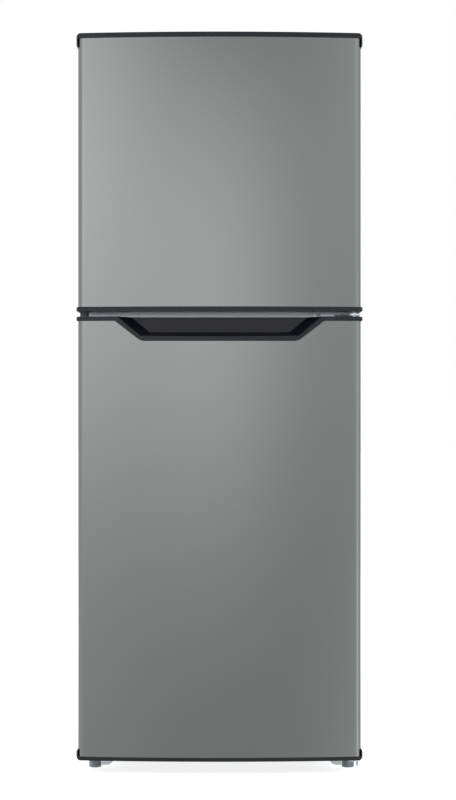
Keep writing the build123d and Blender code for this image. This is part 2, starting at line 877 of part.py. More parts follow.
# Hole plugs: snap-in covers over the unused hinge holes, at the mullion's left end
plug_sheet = 1.4
plug_height = 16.0
plug_inset = 17.5
plug_gap = 1.7
plug_widths = (21.5, 31.8)
with BuildPart() as hole_plugs:
    plug_left = plug_inset - half_cabinet
    for plug_width in plug_widths:
        with BuildSketch(front_plane(cabinet_front)):
            with Locations((plug_left + plug_width / 2, gap_middle)):
                RectangleRounded(plug_width, plug_height, 2.0)
        extrude(amount=plug_sheet)
        plug_left += plug_width + plug_gap
hole_plugs.part.label = "hole_plugs"
export_step(hole_plugs.part, "parts/hole_plugs.step")

# Machine cover: louvred steel cover over the compressor bay, held by four screws
cover_y = back_y - cover_inset
machine_half = cheek_inner - side_play
machine_base = cabinet_base + 8.0
machine_top = bay_top - 0.5
louvre_middle = (machine_base + machine_top) / 2 - 12.0
louvre_spacing = 2 * machine_half / louvre_columns - 14.0
inlet_x = -machine_half + 30.0
inlet_z = machine_top - 18.0
cover_holes = [
    (side * (machine_half - 7), height)
    for side in (-1, 1)
    for height in (machine_base + 12, machine_top - 12)
]
with BuildPart() as machine_cover:
    bar(
        (-machine_half, machine_half),
        (cover_y - cover_sheet, cover_y),
        (machine_base, machine_top),
    )
    with BuildSketch(front_plane(cover_y)):
        with Locations((0, louvre_middle)):
            with GridLocations(louvre_spacing, louvre_pitch, louvre_columns, louvre_rows):
                Rectangle(louvre_width, louvre_slot)
        with Locations((inlet_x, inlet_z)):
            Circle(inlet_radius - 3)
        with Locations(*cover_holes):
            Circle(screw_shank)
    extrude(amount=cover_sheet, mode=Mode.SUBTRACT)
    with BuildSketch(Plane.YZ.offset(-louvre_width / 2)):
        with BuildLine():
            Polyline(
                (cover_y, louvre_slot / 2 + 1.2),
                (cover_y, louvre_slot / 2),
                (cover_y + louvre_hood, -louvre_slot / 2),
                (cover_y + louvre_hood, 1.2 - louvre_slot / 2),
                close=True,
            )
        make_face()
    hood = extrude(amount=louvre_width, mode=Mode.PRIVATE)
    with Locations((0, 0, louvre_middle)):
        with GridLocations(louvre_spacing, louvre_pitch, louvre_columns, louvre_rows) as grid:
            hood_places = [(place.position.X, 0, place.position.Y) for place in grid.local_locations]
    with Locations((0, 0, louvre_middle)):
        with Locations(*hood_places):
            add(hood)
machine_cover.part.label = "machine_cover"
export_step(machine_cover.part, "parts/machine_cover.step")

# Cord inlet: moulded grommet in the machine cover, where the supply cord would enter
with BuildPart() as cord_inlet:
    with BuildSketch(front_plane(cover_y - cover_sheet)):
        with Locations((inlet_x, inlet_z)):
            Circle(inlet_radius)
            Circle(inlet_bore, mode=Mode.SUBTRACT)
    extrude(amount=3.0)
    with BuildSketch(front_plane(cover_y)):
        with Locations((inlet_x, inlet_z)):
            Circle(inlet_radius - 3.1)
            Circle(inlet_bore, mode=Mode.SUBTRACT)
    extrude(amount=cover_sheet)
    with BuildSketch(front_plane(cover_y)):
        with Locations((inlet_x, inlet_z)):
            Circle(inlet_radius)
            Circle(inlet_bore, mode=Mode.SUBTRACT)
    extrude(amount=-3.0)
cord_inlet.part.label = "cord_inlet"
export_step(cord_inlet.part, "parts/cord_inlet.step")

# Screws: pan heads with a cross recess, for the hinges, the brackets and the cover
screw_spots = []
for hole_x in top_plate_holes:
    screw_spots.append((Plane.XY.offset(hinge_seat + top_arm), hole_x, top_screw_y, top_arm))
for screw_x, screw_z in ((middle_screw_x, gap_middle), (second_screw_x, second_screw_z)):
    screw_spots.append((front_plane(cabinet_front - plate), screw_x, screw_z, plate))
for hole_x in right_bracket_holes + left_bracket_holes:
    under_bracket = Plane.XY.offset(bracket_bottom).rotated((180, 0, 0))
    screw_spots.append((under_bracket, hole_x, -bracket_screw_y, plate))
for screw_x, screw_z in cover_holes:
    screw_spots.append((Plane.XZ.offset(-cover_y).rotated((0, 0, 180)), -screw_x, screw_z, cover_sheet))
with BuildPart() as screws:
    for seat, along, across, sheet in screw_spots:
        with BuildSketch(seat):
            with Locations((along, across)):
                Circle(screw_head)
        extrude(amount=screw_head_height, taper=18)
        with BuildSketch(seat):
            with Locations((along, across)):
                Circle(screw_shank)
        extrude(amount=-sheet)
screws.part.label = "screws"
export_step(screws.part, "parts/screws.step")

# Compressor: two drawn steel shells welded at a flange, on a foot plate
compressor_y = (tray_front + tray_back) / 2
foot_base = tray_top + grommet_height
shell_base = foot_base + compressor_foot
shell_top = shell_base + compressor_height
seam_height = shell_base + 0.56 * compressor_height
foot_length = compressor_length + 16.0
foot_width = compressor_width - 18.0
grommet_spots = [
    (compressor_x + way_x * (foot_length / 2 - 13), compressor_y + way_y * (foot_width / 2 - 13))
    for way_x in (-1, 1)
    for way_y in (-1, 1)
]
stub_face = compressor_x - compressor_length / 2 - stub_length
with BuildPart() as compressor:
    with BuildSketch(Plane.XY.offset(shell_base)):
        with Locations((compressor_x, compressor_y)):
            RectangleRounded(compressor_length, compressor_width, compressor_width / 2 - 4)
    extrude(amount=compressor_height)
    fillet(compressor.edges().group_by(Axis.Z)[-1], compressor_round)
    fillet(compressor.edges().group_by(Axis.Z)[0], compressor_round / 2)
    with BuildSketch(Plane.XY.offset(seam_height)):
        with Locations((compressor_x, compressor_y)):
            RectangleRounded(compressor_length + 6, compressor_width + 6, compressor_width / 2 - 1)
    extrude(amount=4.0)
    with BuildSketch(Plane.XY.offset(foot_base)):
        with Locations((compressor_x, compressor_y)):
            RectangleRounded(foot_length, foot_width, 12)
        with Locations(*grommet_spots):
            Circle(3.2, mode=Mode.SUBTRACT)
    extrude(amount=compressor_foot)
    with BuildSketch(Plane.YZ.offset(stub_face)):
        with Locations((compressor_y - 26, seam_height - 24), (compressor_y + 26, seam_height - 14)):
            Circle(stub_radius)
    extrude(amount=stub_length + compressor_round)
compressor.part.label = "compressor"
export_step(compressor.part, "parts/compressor.step")

# Grommets: rubber feet with a waist, one under each corner of the foot plate
with BuildPart() as compressor_grommets:
    for spot_x, spot_y in grommet_spots:
        with BuildSketch(Plane.XZ):
            with BuildLine():
                Polyline(
                    (3.2, 0),
                    (grommet_radius, 0),
                    (grommet_radius, 3),
                    (grommet_radius - 2.5, grommet_height / 2),
                    (grommet_radius, grommet_height - 3),
                    (grommet_radius, grommet_height),
                    (3.2, grommet_height),
                    close=True,
                )
            make_face()
        ring = revolve(axis=Axis.Z, mode=Mode.PRIVATE)
        with Locations((spot_x, spot_y, tray_top)):
            add(ring)
compressor_grommets.part.label = "compressor_grommets"
export_step(compressor_grommets.part, "parts/compressor_grommets.step")

# Compressor bolts: studs from the tray through the grommets, with washer nuts
with BuildPart() as compressor_bolts:
    for spot_x, spot_y in grommet_spots:
        post(spot_x, spot_y, (tray_top, shell_base + 4), 3.0)
        with BuildSketch(Plane.XY.offset(shell_base)):
            with Locations((spot_x, spot_y)):
                RegularPolygon(5.5, 6)
        extrude(amount=5.0)
compressor_bolts.part.label = "compressor_bolts"
export_step(compressor_bolts.part, "parts/compressor_bolts.step")

# Relay cover: moulded box clipped to the compressor's right end
relay_half = 24.0
relay_depth = 30.0
relay_base = shell_base + 22.0
relay_top = seam_height - 4.0
relay_face = compressor_x + compressor_length / 2
with BuildPart() as relay_cover:
    with BuildSketch(Plane.YZ.offset(relay_face)):
        with Locations((compressor_y, (relay_base + relay_top) / 2)):
            RectangleRounded(2 * relay_half, relay_top - relay_base, 6)
    extrude(amount=relay_depth, taper=4)
    fillet(relay_cover.edges().group_by(Axis.X)[-1], 3.0)
relay_cover.part.label = "relay_cover"
export_step(relay_cover.part, "parts/relay_cover.step")

# Filter drier: spun copper canister with drawn-down ends, lying across the bay
drier_x = stub_face - drier_reach
drier_y = compressor_y - 26.0
drier_z = tray_top + 34.0
drier_neck = 10.0
with BuildPart() as filter_drier:
    with BuildSketch(Plane.XY):
        with BuildLine():
            Polyline(
                (0, -drier_length / 2 - drier_neck),
                (stub_radius - 0.6, -drier_length / 2 - drier_neck),
                (stub_radius - 0.6, -drier_length / 2 - 2),
                (drier_radius, -drier_length / 2 + 8),
                (drier_radius, drier_length / 2 - 8),
                (stub_radius - 0.6, drier_length / 2 + 2),
                (stub_radius - 0.6, drier_length / 2 + drier_neck),
                (0, drier_length / 2 + drier_neck),
                close=True,
            )
        make_face()
    turned = revolve(axis=Axis.Y, mode=Mode.PRIVATE)
    with Locations(Location((drier_x, drier_y, drier_z), (0, 0, 90))):
        add(turned)
filter_drier.part.label = "filter_drier"
export_step(filter_drier.part, "parts/filter_drier.step")

# Refrigerant pipes: bent copper tubes to the drier and up through the bay's roof
drier_end = drier_length / 2 + drier_neck
discharge_start = (stub_face, compressor_y - 26, seam_height - 24)
suction_start = (stub_face, compressor_y + 26, seam_height - 14)
pipe_routes = [
    (
        discharge_start,
        (stub_face - 32, compressor_y - 26, seam_height - 24),
        (stub_face - 32, drier_y, drier_z),
        (drier_x + drier_end, drier_y, drier_z),
    ),
    (
        suction_start,
        (stub_face - 40, compressor_y + 26, seam_height - 14),
        (stub_face - 40, compressor_y + 26, bay_top),
    ),
    (
        (drier_x - drier_end, drier_y, drier_z),
        (drier_x - drier_end - 30, drier_y, drier_z),
        (drier_x - drier_end - 30, drier_y, bay_top),
    ),
]
with BuildPart() as refrigerant_pipes:
    for route in pipe_routes:
        with BuildLine() as run:
            FilletPolyline(*route, radius=14)
        with BuildSketch(Plane(origin=route[0], z_dir=Vector(route[1]) - Vector(route[0]))):
            Circle(pipe_radius)
        sweep(path=run.line)
refrigerant_pipes.part.label = "refrigerant_pipes"
export_step(refrigerant_pipes.part, "parts/refrigerant_pipes.step")

# Drain pan: moulded tray on top of the compressor that dries the defrost water
pan_length = compressor_length - 6.0
pan_width = compressor_width - 10.0
with BuildPart() as drain_pan:
    with BuildSketch(Plane.XY.offset(shell_top)):
        with Locations((compressor_x, compressor_y)):
            RectangleRounded(pan_length - 20, pan_width - 20, 10)
    with BuildSketch(Plane.XY.offset(shell_top + drain_pan_depth)):
        with Locations((compressor_x, compressor_y)):
            RectangleRounded(pan_length, pan_width, 14)
    loft(ruled=True)
    with BuildSketch(Plane.XY.offset(shell_top + drain_pan_wall)):
        with Locations((compressor_x, compressor_y)):
            RectangleRounded(pan_length - 22, pan_width - 22, 9)
    with BuildSketch(Plane.XY.offset(shell_top + drain_pan_depth)):
        with Locations((compressor_x, compressor_y)):
            RectangleRounded(pan_length - 2 * drain_pan_wall, pan_width - 2 * drain_pan_wall, 12)
    loft(ruled=True, mode=Mode.SUBTRACT)
drain_pan.part.label = "drain_pan"
export_step(drain_pan.part, "parts/drain_pan.step")

# Evaporator cover: moulded panel across the freezer's back, with a fan grille
panel_front_y = panel_back_y - panel_sheet
panel_half = freezer_half - side_play
panel_base = mullion_top + side_play
panel_top = freezer_top - side_play
fan_z = mullion_top + fan_rise
intake_z = mullion_top + 44.0
with BuildPart() as evaporator_cover:
    with BuildSketch(front_plane(panel_back_y)):
        with Locations((0, (panel_base + panel_top) / 2)):
            RectangleRounded(2 * panel_half, panel_top - panel_base, liner_corner - side_play)
    extrude(amount=panel_sheet)
    with BuildSketch(front_plane(panel_front_y)):
        with Locations((0, (panel_base + panel_top) / 2)):
            RectangleRounded(2 * panel_half - 60, panel_top - panel_base - 60, 12)
    extrude(amount=panel_emboss)
    with BuildSketch(front_plane(panel_back_y)):
        with Locations((0, (panel_base + panel_top) / 2)):
            RectangleRounded(2 * panel_half - 64, panel_top - panel_base - 64, 10)
    extrude(amount=panel_emboss, mode=Mode.SUBTRACT)
    with BuildSketch(front_plane(panel_back_y)):
        with Locations((0, fan_z)):
            for ring_radius in (12.0, 24.0, 36.0, 48.0):
                Circle(ring_radius)
                Circle(ring_radius - 8, mode=Mode.SUBTRACT)
            with PolarLocations(0, 3):
                Rectangle(2 * fan_radius + 6, 4, mode=Mode.SUBTRACT)
        with Locations((0, intake_z)):
            with GridLocations(22, 1, 13, 1):
                SlotOverall(34, 7, rotation=90)
    extrude(amount=2 * panel_sheet + panel_emboss, mode=Mode.SUBTRACT)
evaporator_cover.part.label = "evaporator_cover"
export_step(evaporator_cover.part, "parts/evaporator_cover.step")

# Evaporator: pressed aluminium fins on tubes, with end plates that reach the back wall
fin_sheet = 1.0
fin_count = 9
fin_depth = 40.0
fin_height = 190.0
coil_half = 150.0
coil_y = panel_back_y + 6.0 + fin_depth / 2
coil_base = mullion_top + 72.0
tube_pitch = 56.0
tube_radius = 4.0
with BuildPart() as evaporator:
    for index in range(fin_count):
        fin_x = -coil_half + index * 2 * coil_half / (fin_count - 1)
        fin_back = freezer_back if index in (0, fin_count - 1) else coil_y + fin_depth / 2
        bar(
            (fin_x - fin_sheet / 2, fin_x + fin_sheet / 2),
            (coil_y - fin_depth / 2, fin_back),
            (coil_base, coil_base + fin_height),
        )
    for row in range(3):
        tube_z = coil_base + fin_height / 2 + (row - 1) * tube_pitch
        with BuildSketch(Plane.YZ.offset(-coil_half - 14)):
            with Locations((coil_y, tube_z)):
                RegularPolygon(tube_radius, 8)
        extrude(amount=2 * coil_half + 28)
evaporator.part.label = "evaporator"
export_step(evaporator.part, "parts/evaporator.step")

# Fan motor: round motor on a folded bracket behind the grille, with its shaft
fan_front = panel_back_y + 5.0
motor_front = fan_front + fan_depth + 3.0
motor_depth = 20.0
bracket_half = fan_radius + 12.0
with BuildPart() as fan_motor:
    with BuildSketch(front_plane(motor_front)):
        with Locations((0, fan_z)):
            Circle(19)
    extrude(amount=-motor_depth)
    fillet(fan_motor.edges().filter_by(GeomType.CIRCLE), 2.5)
    with BuildSketch(front_plane(motor_front)):
        with Locations((0, fan_z)):
            Circle(fan_shaft)
    extrude(amount=fan_depth + 1)
    with BuildSketch(front_plane(motor_front + motor_depth)):
        with Locations((0, fan_z)):
            SlotOverall(2 * bracket_half, 16)
    extrude(amount=-2.0)
    for side in (-1, 1):
        bar(
            sorted((side * (bracket_half - 9), side * (bracket_half - 7))),
            (panel_back_y - panel_emboss, motor_front + motor_depth + 2),
            (fan_z - 6, fan_z + 6),
        )
fan_motor.part.label = "fan_motor"
export_step(fan_motor.part, "parts/fan_motor.step")

# Evaporator fan: moulded hub with twisted blades
root_angle = 42.0
tip_angle = 24.0
blade_sheet = 1.6
fan_middle = fan_front + fan_depth / 2
blade_plane = Plane(origin=(0, fan_middle, fan_z), x_dir=(0, 1, 0), z_dir=(0, 0, 1))
with BuildPart() as blade:
    for reach, angle, width in ((fan_hub - 1.5, root_angle, 15.0), (fan_radius, tip_angle, 26.0)):
        with BuildSketch(blade_plane.offset(reach)):
            Rectangle(blade_sheet, width, rotation=angle)
    loft(ruled=True)
with BuildPart() as evaporator_fan:
    with BuildSketch(front_plane(fan_front)):
        with Locations((0, fan_z)):
            Circle(fan_hub)
    extrude(amount=-fan_depth)
    fillet(evaporator_fan.edges().filter_by(GeomType.CIRCLE).group_by(Axis.Y)[0], 3.0)
    for index in range(fan_blades):
        turn = Location((0, fan_middle, fan_z)) * Location((0, 0, 0), (0, index * 360 / fan_blades, 0))
        add((turn * Location((0, -fan_middle, -fan_z))) * blade.part)
    with BuildSketch(front_plane(fan_front + 2)):
        with Locations((0, fan_z)):
            Circle(fan_shaft + running_clearance)
    extrude(amount=-fan_depth, mode=Mode.SUBTRACT)
evaporator_fan.part.label = "evaporator_fan"
export_step(evaporator_fan.part, "parts/evaporator_fan.step")

# Freezer shelf: welded wire rack with a heavier frame, resting on the ledges
wire_sides = 8
rack_half = freezer_half - 2.0 * wire_radius
rack_front = ledge_front + wire_radius
rack_back = panel_front_y - 14.0
rack_z = freezer_shelf_height + wire_radius
rung_pitch = 26.0
rung_count = int(2 * rack_half / rung_pitch)
with BuildPart() as freezer_shelf:
    for rod_y in (rack_front, rack_back):
        with BuildSketch(Plane.YZ.offset(-rack_half)):
            with Locations((rod_y, rack_z)):
                RegularPolygon(wire_radius, wire_sides, rotation=22.5)
        extrude(amount=2 * rack_half)
    for rod_x in (-rack_half, rack_half):
        with BuildSketch(front_plane(rack_back)):
            with Locations((rod_x, rack_z)):
                RegularPolygon(wire_radius, wire_sides, rotation=22.5)
        extrude(amount=rack_back - rack_front)
    for index in range(rung_count):
        rung_x = (index - (rung_count - 1) / 2) * rung_pitch
        with BuildSketch(front_plane(rack_back)):
            with Locations((rung_x, rack_z + wire_radius)):
                RegularPolygon(rung_radius, 6)
        extrude(amount=rack_back - rack_front)
freezer_shelf.part.label = "freezer_shelf"
export_step(freezer_shelf.part, "parts/freezer_shelf.step")

# Air duct: moulded channel up the fridge's back wall, with outlets above each shelf
duct_front = fridge_back - duct_depth
duct_base = hump_top + 20.0
duct_top = duct_base + duct_height
with BuildPart() as fridge_air_duct:
    with BuildSketch(front_plane(fridge_back)):
        with Locations((0, (duct_base + duct_top) / 2)):
            RectangleRounded(2 * duct_half, duct_height, 12)
    extrude(amount=duct_depth)
    fillet(fridge_air_duct.edges().group_by(Axis.Y)[0], 5.0)
    with BuildSketch(front_plane(fridge_back)):
        with Locations((0, (duct_base + duct_top) / 2)):
            RectangleRounded(2 * (duct_half - duct_wall), duct_height - 2 * duct_wall, 9)
    extrude(amount=duct_depth - duct_wall, mode=Mode.SUBTRACT)
    with BuildSketch(front_plane(fridge_back)):
        for shelf_height in (crisper_cover, lower_shelf, upper_shelf):
            with Locations((0, shelf_height + 90)):
                with GridLocations(1, 12, 1, 3):
                    SlotOverall(2 * duct_half - 34, 5)
    extrude(amount=duct_depth, mode=Mode.SUBTRACT)
fridge_air_duct.part.label = "fridge_air_duct"
export_step(fridge_air_duct.part, "parts/fridge_air_duct.step")

# Control housing: moulded box on the fridge's ceiling for the dial, switch and lamp
housing_front = cabinet_front + housing_setback
housing_back = housing_front + housing_depth
housing_base = mullion_base - housing_height
control_z = mullion_base - control_rise
knob_shaft = 3.0
boss_radius = plunger_radius + 3.0
boss_depth = 26.0
lens_front = housing_front + 44.0
lens_back = lens_front + 62.0
lens_half = 42.0


def housing_view(inset):
    """Side view of the control housing, open to the ceiling."""
    with BuildSketch() as view:
        with BuildLine():
            Polyline(
                (housing_front + inset, mullion_base),
                (housing_front + inset, housing_base + 9),
                (housing_front + 14, housing_base + inset),
                (housing_back - 20, housing_base + inset),
                (housing_back - inset, mullion_base - 18),
                (housing_back - inset, mullion_base),
                close=True,
            )
        make_face()
    return view.sketch


housing_outside = housing_view(0)
housing_inside = housing_view(housing_wall)
with BuildPart() as control_housing:
    with BuildSketch(Plane.YZ):
        add(housing_outside)
    extrude(amount=housing_half, both=True)
    fillet(control_housing.edges().filter_by(Axis.Z).group_by(Axis.Y)[0], 4.0)
    with BuildSketch(Plane.YZ):
        add(housing_inside)
    extrude(amount=housing_half - housing_wall, both=True, mode=Mode.SUBTRACT)
    with BuildSketch(front_plane(housing_front + boss_depth)):
        with Locations((plunger_x, control_z)):
            Circle(boss_radius)
    extrude(amount=boss_depth - 1)
    with BuildSketch(front_plane(housing_front + boss_depth)):
        with Locations((plunger_x, control_z)):
            Circle(plunger_radius + running_clearance)
        with Locations((knob_x, control_z)):
            Circle(knob_shaft + 1.5)
    extrude(amount=boss_depth, mode=Mode.SUBTRACT)
    bar(
        (-lens_half + 3, lens_half - 3),
        (lens_front + 3, lens_back - 3),
        (housing_base - 1, housing_base + housing_wall),
        mode=Mode.SUBTRACT,
    )
control_housing.part.label = "control_housing"
export_step(control_housing.part, "parts/control_housing.step")

# Thermostat: body behind the housing's front wall, with the dial's shaft
with BuildPart() as thermostat:
    with BuildSketch(front_plane(housing_front + housing_wall)):
        with Locations((knob_x, control_z)):
            RectangleRounded(42, 30, 3)
    extrude(amount=-26.0)
    with BuildSketch(front_plane(housing_front + housing_wall)):
        with Locations((knob_x, control_z)):
            Circle(knob_shaft)
    extrude(amount=housing_wall + knob_depth - 1)
thermostat.part.label = "thermostat"
export_step(thermostat.part, "parts/thermostat.step")

# Thermostat knob: moulded dial with a grip bar and a fluted edge
knob_back = housing_front - gasket_squeeze
with BuildPart() as thermostat_knob:
    with BuildSketch(front_plane(knob_back)):
        with Locations((knob_x, control_z)):
            Circle(knob_radius)
            with PolarLocations(knob_radius + 0.8, 12):
                Circle(1.8, mode=Mode.SUBTRACT)
    extrude(amount=knob_depth * 0.45)
    with BuildSketch(front_plane(knob_back - knob_depth * 0.45)):
        with Locations((knob_x, control_z)):
            SlotOverall(2 * knob_radius - 5, 9, rotation=90)
    extrude(amount=knob_depth * 0.55)
    with BuildSketch(front_plane(knob_back)):
        with Locations((knob_x, control_z)):
            Circle(knob_shaft + running_clearance)
    extrude(amount=knob_depth - 1.0 + 2 * gasket_squeeze, mode=Mode.SUBTRACT)
thermostat_knob.part.label = "thermostat_knob"
export_step(thermostat_knob.part, "parts/thermostat_knob.step")

# Light switch plunger: domed pin that the door liner holds in while the door is shut
dyke_face = door_back + dyke_depth
plunger_tip = dyke_face + gasket_squeeze
plunger_length = housing_front + boss_depth - switch_travel - plunger_tip
with BuildPart() as light_switch_plunger:
    with BuildSketch(front_plane(plunger_tip)):
        with Locations((plunger_x, control_z)):
            Circle(plunger_radius)
    extrude(amount=-plunger_length)
    fillet(
        light_switch_plunger.edges().filter_by(GeomType.CIRCLE).group_by(Axis.Y)[0],
        plunger_radius - 1.2,
    )
light_switch_plunger.part.label = "light_switch_plunger"
export_step(light_switch_plunger.part, "parts/light_switch_plunger.step")

# Light lens: clear moulded window under the lamp, ribbed across
lens_sheet = 2.0
lens_drop = 6.0
with BuildPart() as light_lens:
    with BuildSketch(Plane.XY.offset(housing_base)):
        with Locations((0, (lens_front + lens_back) / 2)):
            RectangleRounded(2 * lens_half, lens_back - lens_front, 6)
    extrude(amount=-lens_drop, taper=25)
    with BuildSketch(Plane.XY.offset(housing_base)):
        with Locations((0, (lens_front + lens_back) / 2)):
            RectangleRounded(2 * lens_half - 6, lens_back - lens_front - 6, 4)
    extrude(amount=lens_sheet - lens_drop, taper=25, mode=Mode.SUBTRACT)
light_lens.part.label = "light_lens"
export_step(light_lens.part, "parts/light_lens.step")

# Shelf glass: three toughened sheets on the ledges, the lowest over the crisper
glass_half = fridge_half - 1.0
glass_front = ledge_front - shelf_trim / 2 + 2
glass_back = duct_front - 1.5
with BuildPart() as shelf_glass:
    for shelf_height in (crisper_cover, lower_shelf, upper_shelf):
        bar(
            (-glass_half, glass_half),
            (glass_front, glass_back - 4),
            (shelf_height, shelf_height + shelf_glass_sheet),
        )
shelf_glass.part.label = "shelf_glass"
export_step(shelf_glass.part, "parts/shelf_glass.step")

# Shelf trims: moulded edges pressed on the front and back of each glass sheet
trim_half = fridge_half - ledge_depth - 1.0
trim_front = glass_front - shelf_trim / 2
with BuildPart() as shelf_trims:
    for shelf_height in (crisper_cover, lower_shelf, upper_shelf):
        with BuildSketch(Plane.YZ):
            with BuildLine():
                Polyline(
                    (glass_front + 6, shelf_height),
                    (glass_front, shelf_height),
                    (glass_front, shelf_height + shelf_glass_sheet),
                    (glass_front + 6, shelf_height + shelf_glass_sheet),
                    (glass_front + 6, shelf_height + shelf_glass_sheet + 2),
                    (trim_front, shelf_height + shelf_glass_sheet + 2),
                    (trim_front - 1.5, shelf_height),
                    (trim_front, shelf_height - 2),
                    (glass_front + 6, shelf_height - 2),
                    close=True,
                )
            make_face()
        extrude(amount=trim_half, both=True)
        bar(
            (-trim_half, trim_half),
            (glass_back - 4, glass_back),
            (shelf_height, shelf_height + shelf_trim_height),
        )
shelf_trims.part.label = "shelf_trims"
export_step(shelf_trims.part, "parts/shelf_trims.step")

# Crisper drawer: clear moulded box with drafted walls and a finger lip
crisper_half = fridge_half - ledge_depth - 2.0
crisper_front = ledge_front + 6.0
crisper_back = hump_front - 4.0
crisper_base = fridge_floor + crisper_gap
crisper_top = crisper_cover - ledge_height - 4.0
crisper_middle = (crisper_front + crisper_back) / 2
crisper_depth = crisper_back - crisper_front
with BuildPart() as crisper_drawer:
    for inset, base, mode in (
        (0, crisper_base, Mode.ADD),
        (crisper_wall, crisper_base + crisper_wall, Mode.SUBTRACT),
    ):
        with BuildSketch(Plane.XY.offset(base)):
            with Locations((0, crisper_middle)):
                RectangleRounded(
                    2 * (crisper_half - crisper_draft - inset),
                    crisper_depth - 2 * (crisper_draft / 2 + inset),
                    12 - inset,
                )
        with BuildSketch(Plane.XY.offset(crisper_top)):
            with Locations((0, crisper_middle)):
                RectangleRounded(2 * (crisper_half - inset), crisper_depth - 2 * inset, 14 - inset)
        loft(ruled=True, mode=mode)
    with BuildSketch(Plane.YZ):
        with BuildLine():
            Polyline(
                (crisper_front + 0.4, crisper_top),
                (crisper_front - crisper_lip, crisper_top),
                (crisper_front - crisper_lip, crisper_top - 16),
                (crisper_front - crisper_lip + 2, crisper_top - 16),
                (crisper_front - crisper_lip + 2, crisper_top - 3),
                (crisper_front + 0.4, crisper_top - 3),
                close=True,
            )
        make_face()
    extrude(amount=crisper_half - 40, both=True)
crisper_drawer.part.label = "crisper_drawer"
export_step(crisper_drawer.part, "parts/crisper_drawer.step")

# Doors: what the two have in common is worked out from these spans
upper_skin_base = upper_door_base + under_recess + cap_plate
upper_skin_top = upper_door_top - cap_plate
lower_skin_base = lower_door_base + cap_plate
lower_skin_top = lower_door_top - cap_plate
liner_half = skin_width / 2 - skin_return - 0.2
gasket_half = cap_width / 2 - gasket_inset
freezer_dyke = (freezer_half - dyke_clearance, mullion_top + dyke_clearance, freezer_top - dyke_clearance)
fridge_dyke = (fridge_half - dyke_clearance, fridge_floor + dyke_clearance, mullion_base - dyke_clearance)
rim_outline = pocket_view(
    pocket_half,
    pocket_slope,
    lower_door_top - pocket_drop,
    lower_door_top + 2 * pocket_wall,
    pocket_rim_corner,
)

# Door skins: prefinished steel, bowed across and folded round the sides to the back
for skin_name, base, top, is_lower in (
    ("freezer_door_skin", upper_skin_base, upper_skin_top, False),
    ("fridge_door_skin", lower_skin_base, lower_skin_top, True),
):
    with BuildPart() as door_skin:
        with BuildSketch(Plane.XY.offset(base)):
            add(skin_outside)
            add(skin_inside, mode=Mode.SUBTRACT)
        extrude(amount=top - base)
        for side in (-1, 1):
            bar(
                sorted((side * (skin_width / 2 - skin_return), side * (skin_width / 2 - skin_sheet))),
                (door_back - skin_sheet, door_back),
                (base, top),
            )
        if is_lower:
            with BuildSketch(front_plane(front_y)):
                add(rim_outline)
            extrude(amount=-2 * pocket_rim_depth, mode=Mode.SUBTRACT)
    door_skin.part.label = skin_name
    export_step(door_skin.part, f"parts/{skin_name}.step")

# Door liners: white formed sheet with a raised dyke that reaches into the compartment
for liner_name, base, top, dyke in (
    ("freezer_door_liner", upper_skin_base, upper_skin_top, freezer_dyke),
    ("fridge_door_liner", lower_skin_base, lower_skin_top, fridge_dyke),
):
    with BuildPart() as door_liner:
        with BuildSketch(front_plane(door_back)):
            with Locations((0, (base + top) / 2)):
                Rectangle(2 * liner_half, top - base)
        extrude(amount=liner_wall)
        with BuildSketch(front_plane(door_back)):
            add(ring_view(*dyke, dyke_width, dyke_corner, 0))
        extrude(amount=-dyke_depth)
        fillet(door_liner.edges().group_by(Axis.Y)[-1], 3.0)
        with BuildSketch(front_plane(door_back - liner_wall)):
            add(ring_view(*dyke, dyke_width, dyke_corner, 2 * liner_wall))
        extrude(amount=-dyke_depth, mode=Mode.SUBTRACT)
    door_liner.part.label = liner_name
    export_step(door_liner.part, f"parts/{liner_name}.step")

# Door foam: rigid foam that fills each door and its dyke, and carries the bushes
upper_bush_tops = (upper_door_base + under_recess + bush_height, upper_door_top)
lower_bush_tops = (lower_door_base + bush_height, lower_door_top)
for foam_name, base, top, dyke, bush_tops in (
    ("freezer_door_foam", upper_skin_base, upper_skin_top, freezer_dyke, upper_bush_tops),
    ("fridge_door_foam", lower_skin_base, lower_skin_top, fridge_dyke, lower_bush_tops),
):
    with BuildPart() as door_foam:
        with BuildSketch(Plane.XY.offset(base)):
            add(skin_inside)
        extrude(amount=top - base)
        bar((-through, through), (door_back - liner_wall, 0), (base, top), mode=Mode.SUBTRACT)
        with BuildSketch(front_plane(door_back - liner_wall)):
            add(ring_view(*dyke, dyke_width, dyke_corner, 2 * liner_wall))
        extrude(amount=-dyke_depth)
        for bush_top in bush_tops:
            post(hinge_x, hinge_y, (bush_top - bush_height, bush_top), bush_radius, Mode.SUBTRACT)
        if foam_name == "fridge_door_foam":
            with BuildSketch(front_plane(front_y + pocket_rim_depth)):
                add(rim_outline)
            extrude(amount=pocket_rim_depth, mode=Mode.SUBTRACT)
            add(pocket_outer, mode=Mode.SUBTRACT)
    door_foam.part.label = foam_name
    export_step(door_foam.part, f"parts/{foam_name}.step")

